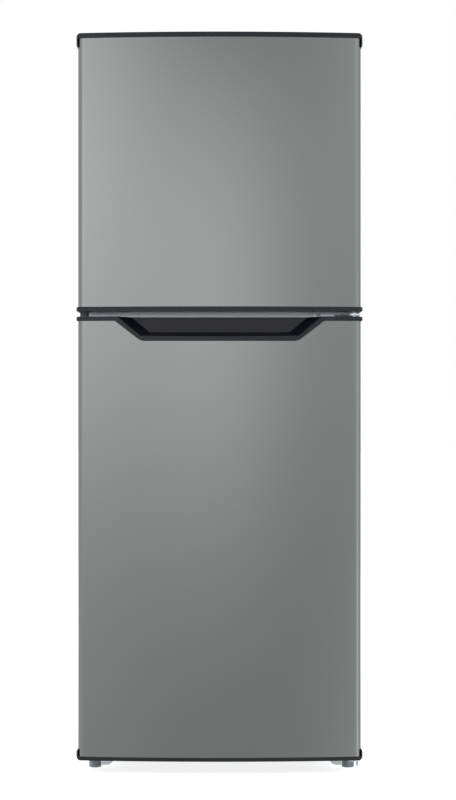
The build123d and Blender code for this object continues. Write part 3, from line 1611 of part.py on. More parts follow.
# End caps: black mouldings over the ends of the skin, with ears at the outer corners
end_caps = {
    "freezer_door_top_cap": (upper_door_top, -1, top_cap_band, top_cap_ear, outer_cap_round),
    "freezer_door_bottom_cap": (upper_door_base, 1, upper_cap_band, upper_cap_band, inner_cap_round),
    "fridge_door_bottom_cap": (lower_door_base, 1, base_cap_band, base_cap_ear, outer_cap_round),
}
for cap_name, (edge, up, band, ear, round_off) in end_caps.items():
    recess = under_recess if edge == upper_door_base else 0
    cap_front_view = cap_view(edge, up, band, ear, round_off)
    cap_under = skin_plan(cap_lip)
    with BuildPart() as end_cap:
        with BuildSketch(Plane.XY.offset(edge)):
            add(cap_plan)
        extrude(amount=up * ear)
        with BuildSketch(Plane.XZ):
            add(cap_front_view)
        extrude(amount=through, both=True, mode=Mode.INTERSECT)
        with BuildSketch(Plane.XY.offset(edge + up * (recess + cap_plate))):
            add(skin_outside)
        extrude(amount=up * ear, mode=Mode.SUBTRACT)
        if recess:
            with BuildSketch(Plane.XY.offset(edge)):
                add(cap_under)
            extrude(amount=recess, mode=Mode.SUBTRACT)
        post(hinge_x, hinge_y, sorted((edge, edge + up * ear)), bush_radius, Mode.SUBTRACT)
    end_cap.part.label = cap_name
    export_step(end_cap.part, f"parts/{cap_name}.step")

# Handle cap: the lower door's top cap, moulded in one with the pocket and its rim
handle_view = cap_view(lower_door_top, -1, lower_cap_band, lower_cap_band, inner_cap_round)
with BuildPart() as fridge_door_handle_cap:
    with BuildSketch(Plane.XY.offset(lower_door_top - lower_cap_band)):
        add(cap_plan)
    extrude(amount=lower_cap_band)
    with BuildSketch(Plane.XZ):
        add(handle_view)
    extrude(amount=through, both=True, mode=Mode.INTERSECT)
    with BuildSketch(Plane.XY.offset(lower_door_top - lower_cap_band)):
        add(skin_outside)
    extrude(amount=lower_cap_band - cap_plate, mode=Mode.SUBTRACT)
    with BuildSketch(front_plane(front_y + pocket_rim_depth)):
        add(rim_outline)
    extrude(amount=pocket_rim_depth)
    add(pocket_outer)
    with BuildSketch(Plane.XY.offset(lower_door_top - 2 * pocket_drop)):
        add(cap_plan)
    extrude(amount=2 * pocket_drop, mode=Mode.INTERSECT)
    add(pocket_inner, mode=Mode.SUBTRACT)
    post(hinge_x, hinge_y, (lower_door_top - bush_height, lower_door_top), bush_radius, Mode.SUBTRACT)
fridge_door_handle_cap.part.label = "fridge_door_handle_cap"
export_step(fridge_door_handle_cap.part, "parts/fridge_door_handle_cap.step")

# Gaskets: soft magnetic seals with a foot, a bellows and a flat head
gasket_height = gasket_gap - gasket_squeeze
gasket_spans = {
    "freezer_door_gasket": (upper_door_base + gasket_reveal, cabinet_top - gasket_top_drop),
    "fridge_door_gasket": (cabinet_base + gasket_base_rise, lower_door_top - gasket_reveal),
}
for gasket_name, (base, top) in gasket_spans.items():
    with BuildPart() as gasket:
        for inset, start, end in (
            (1.0, 0, 2.5),
            (3.5, 2.5, gasket_height - 4.5),
            (0, gasket_height - 4.5, gasket_height),
        ):
            with BuildSketch(front_plane(door_back + start)):
                add(ring_view(gasket_half, base, top, gasket_width, gasket_corner, inset))
            extrude(amount=start - end)
    gasket.part.label = gasket_name
    export_step(gasket.part, f"parts/{gasket_name}.step")

# Door bins: clear moulded trays between the dykes, lower along their inner side
freezer_bins = ((bin_seat, 80.0), (205.0, 70.0))
fridge_bins = ((bin_seat, 105.0), (250.0, 85.0), (470.0, 70.0))
for bins_name, dyke, shelves in (
    ("freezer_door_bins", freezer_dyke, freezer_bins),
    ("fridge_door_bins", fridge_dyke, fridge_bins),
):
    bin_half = dyke[0] - dyke_width - bin_seat
    with BuildPart() as door_bins:
        for rise, height in shelves:
            base = dyke[1] + dyke_width + rise
            for inset, floor, mode in ((0, 0, Mode.ADD), (bin_wall, bin_wall, Mode.SUBTRACT)):
                with BuildSketch(Plane.XY.offset(base + floor)) as bin_view:
                    with Locations((0, door_back + bin_depth / 2)):
                        Rectangle(2 * (bin_half - inset), bin_depth - 2 * inset)
                    fillet(bin_view.vertices().group_by(Axis.Y)[-1], bin_corner - inset)
                extrude(amount=height, mode=mode)
                if mode == Mode.ADD:
                    low_edges = door_bins.edges(Select.LAST).filter_by(Axis.Y).group_by(Axis.Z)[0]
                    fillet(low_edges, dyke_corner / 2 + 1)
            with BuildSketch(Plane.YZ):
                with BuildLine():
                    Polyline(
                        (door_back + bin_depth / 2, base + height),
                        (door_back + bin_depth + 1, base + height - bin_dip),
                        (door_back + bin_depth + 1, base + height + bin_wall + 1),
                        (door_back, base + height + bin_wall + 1),
                        (door_back, base + height),
                        close=True,
                    )
                make_face()
            extrude(amount=bin_half + 1, both=True, mode=Mode.SUBTRACT)
    door_bins.part.label = bins_name
    export_step(door_bins.part, f"parts/{bins_name}.step")

# Hinge bushes: acetal sleeves pressed into the caps, two to a door
for bushes_name, bush_tops in (
    ("freezer_door_bushes", upper_bush_tops),
    ("fridge_door_bushes", lower_bush_tops),
):
    with BuildPart() as bushes:
        for bush_top in bush_tops:
            with BuildSketch(Plane.XY.offset(bush_top - bush_height)):
                with Locations((hinge_x, hinge_y)):
                    Circle(bush_radius)
                    Circle(pin_radius + running_clearance, mode=Mode.SUBTRACT)
            extrude(amount=bush_height)
    bushes.part.label = bushes_name
    export_step(bushes.part, f"parts/{bushes_name}.step")
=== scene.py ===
import math

import bmesh
import bpy
from mathutils import Matrix, Vector


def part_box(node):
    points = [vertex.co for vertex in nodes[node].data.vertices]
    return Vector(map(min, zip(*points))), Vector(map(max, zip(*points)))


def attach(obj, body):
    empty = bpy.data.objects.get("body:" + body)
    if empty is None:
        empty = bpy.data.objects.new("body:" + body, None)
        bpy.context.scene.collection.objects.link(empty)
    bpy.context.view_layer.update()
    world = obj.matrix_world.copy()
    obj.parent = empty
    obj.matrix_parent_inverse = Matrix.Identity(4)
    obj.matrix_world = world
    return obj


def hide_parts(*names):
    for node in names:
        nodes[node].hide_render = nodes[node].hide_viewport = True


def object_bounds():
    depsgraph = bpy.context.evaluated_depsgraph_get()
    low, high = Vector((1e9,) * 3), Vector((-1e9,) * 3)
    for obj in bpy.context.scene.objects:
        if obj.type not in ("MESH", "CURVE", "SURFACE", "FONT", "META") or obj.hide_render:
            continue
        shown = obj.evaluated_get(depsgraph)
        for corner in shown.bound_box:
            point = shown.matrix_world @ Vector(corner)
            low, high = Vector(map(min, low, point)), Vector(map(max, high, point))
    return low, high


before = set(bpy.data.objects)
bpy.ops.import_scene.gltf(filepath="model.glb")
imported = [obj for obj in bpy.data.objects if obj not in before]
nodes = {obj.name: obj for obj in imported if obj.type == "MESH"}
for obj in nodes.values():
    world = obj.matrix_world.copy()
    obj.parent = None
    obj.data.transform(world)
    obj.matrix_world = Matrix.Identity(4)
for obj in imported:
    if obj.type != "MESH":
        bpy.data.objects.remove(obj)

cad_low, cad_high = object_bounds()

# Camera: three metres in front of the doors, level, a little below half the height of the
# refrigerator, with a small shift that frames the doors.
image_height = 800
focal_pixels = 1573
shift_right_pixels = 8.5
shift_up_pixels = 20
sensor = 36.0
eye_distance = 3.0
eye_height = 0.68
camera_data = bpy.data.cameras.new("camera")
camera_data.sensor_width = sensor
camera_data.lens = sensor * focal_pixels / image_height
camera_data.shift_x = shift_right_pixels / image_height
camera_data.shift_y = shift_up_pixels / image_height
camera = bpy.data.objects.new("camera", camera_data)
camera.location = (0, cad_low.y - eye_distance, eye_height)
camera.rotation_euler = (math.radians(90), 0, 0)
bpy.context.scene.collection.objects.link(camera)
bpy.context.scene.camera = camera
bpy.context.scene.view_settings.view_transform = "Standard"


# Floor: plain pale sheet that takes the soft shadow under the cabinet. The eye sees it
# lifted to the white around it, so that only the shadow shows.
def srgb(red, green, blue):
    """Linear colour of a value from 0 to 255 as it shows on a screen."""
    return tuple(((v / 255 + 0.055) / 1.055) ** 2.4 if v > 10 else v / 3295 for v in (red, green, blue))


def link_object(name, mesh):
    """New object at the origin, with its place in its mesh."""
    obj = bpy.data.objects.new(name, mesh)
    bpy.context.scene.collection.objects.link(obj)
    return obj


def new_node(tree, kind, **inputs):
    """Node of a tree with values or links for its inputs, by their names."""
    node = tree.nodes.new(kind)
    for key, value in inputs.items():
        socket = node.inputs[key.replace("_", " ")]
        if isinstance(value, bpy.types.NodeSocket):
            tree.links.new(value, socket)
        else:
            socket.default_value = value
    return node


def math_node(tree, operation, *values):
    """Result of an arithmetic step on numbers or links."""
    node = tree.nodes.new("ShaderNodeMath")
    node.operation = operation
    for socket, value in zip(node.inputs, values):
        if isinstance(value, bpy.types.NodeSocket):
            tree.links.new(value, socket)
        else:
            socket.default_value = value
    return node.outputs[0]


floor_half = 30.0
floor_grey = 0.6
floor_lift = 0.80
floor_corners = [(-floor_half, -floor_half, 0), (floor_half, -floor_half, 0)]
floor_corners += [(floor_half, floor_half, 0), (-floor_half, floor_half, 0)]
floor_mesh = bpy.data.meshes.new("floor")
floor_mesh.from_pydata(floor_corners, [], [(0, 1, 2, 3)])
floor = link_object("floor", floor_mesh)
floor_paint = bpy.data.materials.new("floor_paint")
floor_paint.use_nodes = True
tree = floor_paint.node_tree
shader = tree.nodes["Principled BSDF"]
shader.inputs["Base Color"].default_value = (floor_grey, floor_grey, floor_grey, 1)
shader.inputs["Roughness"].default_value = 0.9
shader.inputs["Specular IOR Level"].default_value = 0.0
shader.inputs["Emission Color"].default_value = (1, 1, 1, 1)
path = tree.nodes.new("ShaderNodeLightPath")
seen = math_node(tree, "MAXIMUM", path.outputs["Is Camera Ray"], path.outputs["Is Transmission Ray"])
tree.links.new(math_node(tree, "MULTIPLY", seen, floor_lift), shader.inputs["Emission Strength"])
floor.data.materials.append(floor_paint)
floor.visible_glossy = False

# Studio: white surround for the eye and for glass, even light that leaves colours about
# as written, and the broad pale and dark cards that satin steel mirrors.
world = bpy.data.worlds.new("studio")
bpy.context.scene.world = world
world.use_nodes = True
tree = world.node_tree
tree.nodes.clear()
room = tree.nodes.new("ShaderNodeTexCoord")
ray = tree.nodes.new("ShaderNodeLightPath")
mirrored = 0.72


def card(level, azimuth, elevation, tightness, strength):
    """Level of the surround with one more soft card, pale or, below zero, dark."""
    flat = math.cos(math.radians(elevation))
    across = math.sin(math.radians(azimuth)) * flat
    forward = -math.cos(math.radians(azimuth)) * flat
    way = (across, forward, math.sin(math.radians(elevation)))
    facing = tree.nodes.new("ShaderNodeVectorMath")
    facing.operation = "DOT_PRODUCT"
    tree.links.new(room.outputs["Generated"], facing.inputs[0])
    facing.inputs[1].default_value = way
    away = math_node(tree, "SUBTRACT", facing.outputs["Value"], 1.0)
    glow = math_node(tree, "EXPONENT", math_node(tree, "MULTIPLY", away, tightness))
    return math_node(tree, "ADD", level, math_node(tree, "MULTIPLY", glow, strength))


level = card(mirrored, -19, 9, 60, 1.0)
level = card(level, 0, 20, 65, -0.5)
level = card(level, 0, 6, 65, 1.0)
level = card(level, 12, 1, 7, -0.5)
level = card(level, 25, 15, 45, 0.65)
level = card(level, 36, -12, 18, 0.85)
level = math_node(tree, "MAXIMUM", level, 0.0)
lit = 0.62
plain = math_node(tree, "MULTIPLY", ray.outputs["Is Diffuse Ray"], lit)
shown = math_node(tree, "MAXIMUM", ray.outputs["Is Camera Ray"], ray.outputs["Is Transmission Ray"])
level = math_node(tree, "MULTIPLY", level, ray.outputs["Is Glossy Ray"])
strength = math_node(tree, "MAXIMUM", math_node(tree, "MAXIMUM", level, plain), shown)
background = new_node(tree, "ShaderNodeBackground", Color=(1, 1, 1, 1), Strength=strength)
output = tree.nodes.new("ShaderNodeOutputWorld")
tree.links.new(background.outputs[0], output.inputs[0])


aim = Vector((0, 0, 0.7))


def softbox(name, place, width, height, power):
    """Area lamp that hangs at a place and faces the middle of the cabinet."""
    lamp = bpy.data.lights.new(name, "AREA")
    lamp.shape = "RECTANGLE"
    lamp.size = width
    lamp.size_y = height
    lamp.energy = power
    obj = bpy.data.objects.new(name, lamp)
    obj.location = place
    obj.rotation_euler = (aim - Vector(place)).to_track_quat("-Z", "Y").to_euler()
    obj.visible_glossy = False
    bpy.context.scene.collection.objects.link(obj)


softbox("key_softbox", (-2.4, -2.6, 2.2), 1.6, 2.0, 60)
softbox("fill_softbox", (2.8, -1.6, 1.8), 1.6, 2.0, 35)
softbox("back_softbox", (0.6, 3.2, 2.4), 2.0, 2.0, 60)


# Cabinet: painted steel wrapper folded from one sheet over the sides and the top, with a
# galvanised panel closing the back and a galvanised pan carrying the bottom.
def finish(name, colour, roughness, metallic=0.0, tone=0.05, drift=5.0, spread=0.05, grain=900.0,
           relief=0.00002, stretch=(1, 1, 1), bevel=0.0):
    """Material whose tone and gloss drift slowly over the piece, with a fine relief."""
    material = bpy.data.materials.new(name)
    material.use_nodes = True
    tree = material.node_tree
    shader = tree.nodes["Principled BSDF"]
    shader.inputs["Metallic"].default_value = metallic
    place = tree.nodes.new("ShaderNodeTexCoord")
    slow = new_node(tree, "ShaderNodeTexNoise", Vector=place.outputs["Object"], Scale=drift, Detail=3.0)
    mix = tree.nodes.new("ShaderNodeMix")
    mix.data_type = "RGBA"
    mix.inputs[6].default_value = (*[v * (1 - tone) for v in colour], 1)
    mix.inputs[7].default_value = (*[min(v * (1 + tone), 1) for v in colour], 1)
    tree.links.new(slow.outputs["Fac"], mix.inputs[0])
    tree.links.new(mix.outputs[2], shader.inputs["Base Color"])
    gloss = new_node(tree, "ShaderNodeMapRange", Value=slow.outputs["Fac"],
                     To_Min=roughness - spread, To_Max=roughness + spread)
    tree.links.new(gloss.outputs["Result"], shader.inputs["Roughness"])
    turn = new_node(tree, "ShaderNodeMapping", Vector=place.outputs["Object"], Scale=stretch)
    fine = new_node(tree, "ShaderNodeTexNoise", Vector=turn.outputs["Vector"], Scale=grain, Detail=2.0)
    bump = new_node(tree, "ShaderNodeBump", Height=fine.outputs["Fac"], Strength=1.0, Distance=relief)
    if bevel:
        edge = new_node(tree, "ShaderNodeBevel", Radius=bevel)
        tree.links.new(edge.outputs["Normal"], bump.inputs["Normal"])
    tree.links.new(bump.outputs["Normal"], shader.inputs["Normal"])
    return material


def dress(material, *names):
    """The CAD nodes keep their shape and take this finish."""
    for name in names:
        mesh = nodes[name].data
        mesh.materials.clear()
        mesh.materials.append(material)


cabinet_paint = finish("cabinet_paint", srgb(92, 95, 98), 0.38, metallic=0.35, tone=0.03,
                       grain=500.0, relief=0.00003)
dress(cabinet_paint, "cabinet_wrapper")
galvanised = finish("galvanised_steel", srgb(176, 180, 184), 0.42, metallic=0.9, tone=0.10,
                    drift=45.0, spread=0.10)
dress(galvanised, "back_panel", "machine_cover")
bare_sheet = finish("rolled_sheet", srgb(120, 124, 128), 0.5, metallic=0.8, tone=0.12,
                    drift=30.0, spread=0.08)
dress(bare_sheet, "base_pan", "compressor_rail", "front_base_rail", "roller_axles")

# Insides: vacuum formed white liners, with rigid foam poured round them and a bright
# painted plate over the mullion between the two compartments.
white_liner = finish("white_liner", srgb(228, 230, 231), 0.3, tone=0.008, drift=2.0,
                     spread=0.02, relief=0.00002, grain=700.0)
dress(white_liner, "fridge_liner", "freezer_liner", "fridge_door_liner", "freezer_door_liner")
foam = finish("rigid_foam", srgb(225, 205, 150), 0.9, tone=0.10, drift=40.0, grain=1200.0, relief=0.0004)
dress(foam, "cabinet_foam", "fridge_door_foam", "freezer_door_foam")
mullion_paint = finish("mullion_paint", srgb(238, 240, 245), 0.30, metallic=0.7, tone=0.02,
                       spread=0.02, grain=500.0, relief=0.000006)
dress(mullion_paint, "mullion_plate")

# Cold side: aluminium coil and fins behind a white moulded cover, with a small fan that
# draws air over them and a duct that carries it down to the lower compartment.
aluminium = finish("aluminium", srgb(215, 217, 220), 0.35, metallic=1.0, tone=0.08)
dress(aluminium, "evaporator")
white_plastic = finish("white_plastic", srgb(222, 224, 225), 0.42, tone=0.012, drift=8.0,
                       spread=0.03, bevel=0.0006)
dress(white_plastic, "evaporator_cover", "fridge_air_duct", "evaporator_fan", "control_housing")
dress(white_plastic, "thermostat", "light_switch_plunger", "shelf_trims")
knob_plastic = finish("knob_plastic", srgb(196, 200, 204), 0.35, tone=0.02, bevel=0.0005)
dress(knob_plastic, "thermostat_knob")
black_paint = finish("black_paint", srgb(27, 28, 31), 0.32, tone=0.10, drift=20.0, relief=0.00006)
dress(black_paint, "compressor", "fan_motor")

# Shelves and drawer: tempered glass in white trims, a plastic coated wire rack, and
# clear moulded drawer, bins and lens.
glass_clearness = 1.0
plastic_clearness = 0.93
plastic_ior = 1.49
lens_clearness = 0.4
glass = finish("shelf_glass", (0.90, 0.97, 0.94), 0.03, tone=0.01, spread=0.01, relief=0.000002)
glass.node_tree.nodes["Principled BSDF"].inputs["Transmission Weight"].default_value = glass_clearness
dress(glass, "shelf_glass")
wire = finish("coated_wire", srgb(226, 228, 229), 0.3, tone=0.02)
dress(wire, "freezer_shelf")
clear = finish("clear_plastic", (0.95, 0.975, 0.985), 0.07, tone=0.01, spread=0.02, relief=0.000006)
clear_shader = clear.node_tree.nodes["Principled BSDF"]
clear_shader.inputs["Transmission Weight"].default_value = plastic_clearness
clear_shader.inputs["IOR"].default_value = plastic_ior
dress(clear, "fridge_door_bins", "freezer_door_bins", "crisper_drawer")
lens = finish("light_lens", srgb(236, 237, 236), 0.35, tone=0.01)
lens.node_tree.nodes["Principled BSDF"].inputs["Transmission Weight"].default_value = lens_clearness
dress(lens, "light_lens")

# Machine bay: compressor on rubber grommets, copper pipes and drier, and the black pan
# on the shell that dries off the defrost water.
copper = finish("copper", srgb(196, 122, 88), 0.32, metallic=1.0, tone=0.18, drift=30.0, spread=0.08)
dress(copper, "refrigerant_pipes", "filter_drier")
rubber = finish("black_rubber", srgb(26, 26, 28), 0.75, relief=0.00006)
dress(rubber, "compressor_grommets")
black_plastic = finish("black_plastic", srgb(15, 17, 24), 0.36, tone=0.05, drift=9.0, spread=0.04,
                       grain=1400.0, relief=0.00002, bevel=0.0008)
dress(black_plastic, "relay_cover", "drain_pan", "cord_inlet", "left_roller", "right_roller")
dress(black_plastic, "top_hinge_cover", "freezer_door_top_cap", "freezer_door_bottom_cap")
dress(black_plastic, "fridge_door_handle_cap", "fridge_door_bottom_cap")
zinc = finish("zinc_plate", srgb(192, 195, 199), 0.3, metallic=1.0, tone=0.10, drift=80.0, spread=0.06)
dress(zinc, "compressor_bolts")

# Hinges and feet: pressed and plated plates that carry the doors, plugs over the holes
# of the other hand, and levelling feet of grey plastic.
hinge_steel = finish("hinge_steel", srgb(232, 238, 246), 0.24, metallic=0.85, tone=0.03,
                     drift=25.0, spread=0.03, bevel=0.0005)
dress(hinge_steel, "bottom_hinge", "left_foot_bracket", "middle_hinge", "top_hinge")
plug_plastic = finish("plug_plastic", srgb(224, 226, 236), 0.26, metallic=0.75, tone=0.03,
                      spread=0.02, bevel=0.0004)
dress(plug_plastic, "hole_plugs")
foot_plastic = finish("foot_plastic", srgb(150, 157, 168), 0.4, tone=0.05, bevel=0.0005)
dress(foot_plastic, "left_foot", "right_foot")
acetal = finish("acetal", srgb(225, 224, 215), 0.35, tone=0.02)
dress(acetal, "fridge_door_bushes", "freezer_door_bushes")

# Screws: pan heads with a cross recess, zinc plated. One head is drawn once and set at
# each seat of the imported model, square to the face that it holds.
def node_group(name, **sizes):
    """Empty tree with a geometry input and a named input for each size."""
    tree = bpy.data.node_groups.new(name, "GeometryNodeTree")
    tree.interface.new_socket("Geometry", in_out="INPUT", socket_type="NodeSocketGeometry")
    for label, value in sizes.items():
        kind = "NodeSocketInt" if isinstance(value, int) else "NodeSocketFloat"
        tree.interface.new_socket(label, in_out="INPUT", socket_type=kind).default_value = value
    tree.interface.new_socket("Geometry", in_out="OUTPUT", socket_type="NodeSocketGeometry")
    return tree, tree.nodes.new("NodeGroupInput").outputs


def close_group(tree, geometry, material):
    """End of a tree: instances made real and the material set."""
    real = new_node(tree, "GeometryNodeRealizeInstances", Geometry=geometry)
    painted = new_node(tree, "GeometryNodeSetMaterial", Geometry=real.outputs[0], Material=material)
    tree.links.new(painted.outputs[0], tree.nodes.new("NodeGroupOutput").inputs[0])


def made_real(name, carrier_mesh, tree, **sizes):
    """Object with the plain mesh that a tree makes from a carrier and its named inputs."""
    carrier = link_object(name + "_carrier", carrier_mesh)
    modifier = carrier.modifiers.new("form", "NODES")
    modifier.node_group = tree
    for item in tree.interface.items_tree:
        if item.in_out == "INPUT" and item.name in sizes:
            modifier[item.identifier] = sizes[item.name]
    mesh = bpy.data.meshes.new_from_object(carrier.evaluated_get(bpy.context.evaluated_depsgraph_get()))
    bpy.data.objects.remove(carrier)
    mesh.name = name
    return link_object(name, mesh)


solid_weld = 0.000001


def islands(node):
    """Corners of the box round each separate solid of a node."""
    form = bmesh.new()
    form.from_mesh(nodes[node].data)
    bmesh.ops.remove_doubles(form, verts=form.verts, dist=solid_weld)
    left = set(form.verts)
    groups = []
    while left:
        queue = [left.pop()]
        group = []
        while queue:
            vert = queue.pop()
            group.append(vert.co.copy())
            for edge in vert.link_edges:
                other = edge.other_vert(vert)
                if other in left:
                    left.remove(other)
                    queue.append(other)
        groups.append(group)
    form.free()
    return groups


def facing_points(name, places):
    """Mesh of loose points that carry the way each one faces."""
    mesh = bpy.data.meshes.new(name)
    mesh.from_pydata([place for place, way in places], [], [])
    ways = mesh.attributes.new("facing", "FLOAT_VECTOR", "POINT")
    for index, (place, way) in enumerate(places):
        ways.data[index].vector = way
    return mesh


head_radius = 0.0036
head_height = 0.0026
head_crown = 0.0026
shank_radius = 0.0020
shank_length = 0.0012
recess_width = 0.0009
recess_span = 0.0042
recess_depth = 0.0013
head_sides = 32
shank_sides = 20
screw_crease = 35
end_reach = 0.00001
tree, size = node_group("cross_recess_screw", Head=head_radius, Height=head_height, Crown=head_crown,
                        Shank=shank_radius, Reach=shank_length, Slot=recess_width,
                        Span=recess_span, Depth=recess_depth)
cone = new_node(tree, "GeometryNodeMeshCone", Vertices=head_sides, Radius_Bottom=size["Head"],
                Radius_Top=size["Crown"], Depth=size["Height"])
head = cone.outputs["Mesh"]
for wide, deep in (("Span", "Slot"), ("Slot", "Span")):
    extent = new_node(tree, "ShaderNodeCombineXYZ", X=size[wide], Y=size[deep],
                      Z=math_node(tree, "MULTIPLY", size["Depth"], 2.0))
    blade = new_node(tree, "GeometryNodeMeshCube", Size=extent.outputs[0])
    rise = new_node(tree, "ShaderNodeCombineXYZ", Z=size["Height"])
    blade = new_node(tree, "GeometryNodeTransform", Geometry=blade.outputs[0], Translation=rise.outputs[0])
    cut = tree.nodes.new("GeometryNodeMeshBoolean")
    cut.operation = "DIFFERENCE"
    cut.solver = "EXACT"
    tree.links.new(head, cut.inputs["Mesh 1"])
    tree.links.new(blade.outputs[0], cut.inputs["Mesh 2"])
    head = cut.outputs[0]
stem = new_node(tree, "GeometryNodeMeshCylinder", Vertices=shank_sides, Radius=size["Shank"],
                Depth=size["Reach"])
drop = new_node(tree, "ShaderNodeCombineXYZ", Z=math_node(tree, "MULTIPLY", size["Reach"], -0.5))
stem = new_node(tree, "GeometryNodeTransform", Geometry=stem.outputs["Mesh"], Translation=drop.outputs[0])
whole = tree.nodes.new("GeometryNodeJoinGeometry")
tree.links.new(head, whole.inputs[0])
tree.links.new(stem.outputs[0], whole.inputs[0])
facing = tree.nodes.new("GeometryNodeInputNamedAttribute")
facing.data_type = "FLOAT_VECTOR"
facing.inputs["Name"].default_value = "facing"
turn = new_node(tree, "FunctionNodeAlignRotationToVector", Vector=facing.outputs[0])
turn.axis = "Z"
cloud = new_node(tree, "GeometryNodeMeshToPoints", Mesh=size["Geometry"])
placed = new_node(tree, "GeometryNodeInstanceOnPoints", Points=cloud.outputs[0], Instance=whole.outputs[0],
                  Rotation=turn.outputs[0])
close_group(tree, placed.outputs[0], zinc)

seats = []
for group in islands("screws"):
    low = Vector([min(co[axis] for co in group) for axis in range(3)])
    high = Vector([max(co[axis] for co in group) for axis in range(3)])
    along = min(range(3), key=lambda axis: (high - low)[axis])
    across = (along + 1) % 3

    def spread(level):
        """How wide the solid is at one end."""
        reach = [co[across] for co in group if abs(co[along] - level) < end_reach]
        return max(reach) - min(reach)

    outward = 1 if spread(high[along]) > spread(low[along]) else -1
    way = Vector([outward if axis == along else 0 for axis in range(3)])
    seat = (low + high) / 2
    seat[along] = (high[along] if outward > 0 else low[along]) - outward * head_height
    seats.append((seat, way))
screws = made_real("cabinet_screws", facing_points("screw_seats", seats), tree, Head=head_radius)
screws.data.set_sharp_from_angle(angle=math.radians(screw_crease))
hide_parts("screws")
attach(screws, "cabinet")

# Threads: rolled thread round the stem of each levelling foot, a ridge swept along a
# helix. It has the look of the foot's grey plastic, and is declared under the zinc slot.
thread_ridge = 0.0004
thread_radius = 0.0040
thread_turns = 12.0
thread_rise = 0.0180
turn_steps = 24
ridge_sides = 5
tree, size = node_group("rolled_thread", Turns=thread_turns, Radius=thread_radius,
                        Rise=thread_rise, Ridge=thread_ridge)
helix = new_node(tree, "GeometryNodeCurveSpiral", Resolution=turn_steps, Rotations=size["Turns"],
                 Start_Radius=size["Radius"], End_Radius=size["Radius"], Height=size["Rise"])
section = new_node(tree, "GeometryNodeCurvePrimitiveCircle", Resolution=ridge_sides, Radius=size["Ridge"])
ridge = tree.nodes.new("GeometryNodeCurveToMesh")
ridge.inputs["Fill Caps"].default_value = True
tree.links.new(helix.outputs[0], ridge.inputs["Curve"])
tree.links.new(section.outputs[0], ridge.inputs["Profile Curve"])
cloud = new_node(tree, "GeometryNodeMeshToPoints", Mesh=size["Geometry"])
placed = new_node(tree, "GeometryNodeInstanceOnPoints", Points=cloud.outputs[0], Instance=ridge.outputs[0])
close_group(tree, placed.outputs[0], foot_plastic)
pad_height = 0.014
thread_pitch = 0.0015
for side in ("left", "right"):
    low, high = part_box(side + "_foot")
    rise = high.z - pad_height - 3 * thread_ridge
    foot_middle = ((low.x + high.x) / 2, (low.y + high.y) / 2, pad_height + thread_ridge)
    thread = made_real(side + "_foot_thread", facing_points("thread_seat", [(foot_middle, (0, 0, 1))]), tree,
                       Rise=rise, Turns=rise / thread_pitch)
    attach(thread, side + "_front_foot")

# Gaskets: extruded magnetic seals, with a barbed foot pressed into the door liner, soft
# bellows and a flat head over the magnet, mitred at the corners.
gasket_vinyl = finish("gasket_vinyl", srgb(128, 131, 135), 0.55, tone=0.03, relief=0.00002)
gasket_width = 0.016
foot_inset = 0.0010
fold_shallow = 0.0016
fold_deep = 0.0035
foot_depth = 0.0025
head_depth = 0.0045
folds = 4
fold_gap = 0.0003
head_edge = 0.0007


def seal_section(depth):
    """Inset from each side and depth from the door, up one side of the seal."""
    points = [(foot_inset, 0.0), (foot_inset, foot_depth)]
    first = foot_depth + fold_gap
    last = depth - head_depth - fold_gap
    for step in range(2 * folds + 1):
        inset = fold_deep if step % 2 == 0 else fold_shallow
        points.append((inset, first + (last - first) * step / (2 * folds)))
    return points + [(0.0, depth - head_depth), (0.0, depth - head_edge), (head_edge, depth)]


for door in ("freezer_door", "fridge_door"):
    low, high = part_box(door + "_gasket")
    outer = seal_section(high.y - low.y)
    section = [(inset, y) for inset, y in outer] + [(gasket_width - inset, y) for inset, y in reversed(outer)]
    verts = []
    for sx, sz in ((-1, -1), (1, -1), (1, 1), (-1, 1)):
        for inset, y in section:
            x = (high.x if sx > 0 else low.x) - sx * inset
            z = (high.z if sz > 0 else low.z) - sz * inset
            verts.append((x, low.y + y, z))
    count = len(section)
    faces = []
    for corner in range(4):
        for step in range(count):
            a = corner * count + step
            b = corner * count + (step + 1) % count
            c = ((corner + 1) % 4) * count + (step + 1) % count
            d = ((corner + 1) % 4) * count + step
            faces.append((a, b, c, d))
    mesh = bpy.data.meshes.new(door + "_seal")
    mesh.from_pydata(verts, [], faces)
    form = bmesh.new()
    form.from_mesh(mesh)
    bmesh.ops.recalc_face_normals(form, faces=form.faces)
    form.to_mesh(mesh)
    form.free()
    mesh.materials.append(gasket_vinyl)
    seal = link_object(door + "_seal", mesh)
    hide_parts(door + "_gasket")
    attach(seal, door)

# Dial: plain numbers moulded proud of the housing round the thermostat knob, from mild to
# cold in the order that the grip passes them, and a dark line inlaid in the grip's upper
# end, which turns with the knob and points at the first of them at rest.
print_grey = finish("print_grey", srgb(88, 92, 98), 0.5, tone=0.03)
knob_low, knob_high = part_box("thermostat_knob")
knob_middle = (knob_low + knob_high) / 2
housing_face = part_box("control_housing")[0].y
number_reach = 0.0180
number_height = 0.0042
number_relief = 0.0002
number_step = 50.0
number_count = 7
number_weld = 0.000002
numbers = bpy.data.meshes.new("dial_numbers")
form = bmesh.new()
for count in range(number_count):
    angle = math.radians(-count * number_step)
    letters = bpy.data.curves.new("number", "FONT")
    letters.body = str(count + 1)
    letters.size = number_height
    letters.extrude = number_relief
    letters.align_x = "CENTER"
    letters.align_y = "CENTER"
    text = link_object("number", letters)
    flat = bpy.data.meshes.new_from_object(text.evaluated_get(bpy.context.evaluated_depsgraph_get()))
    bpy.data.objects.remove(text)
    aside = number_reach * math.sin(angle)
    above = number_reach * math.cos(angle)
    spot = Vector((knob_middle.x + aside, housing_face, knob_middle.z + above))
    flat.transform(Matrix.Translation(spot) @ Matrix.Rotation(math.radians(90), 4, "X"))
    form.from_mesh(flat)
bmesh.ops.remove_doubles(form, verts=form.verts, dist=number_weld)
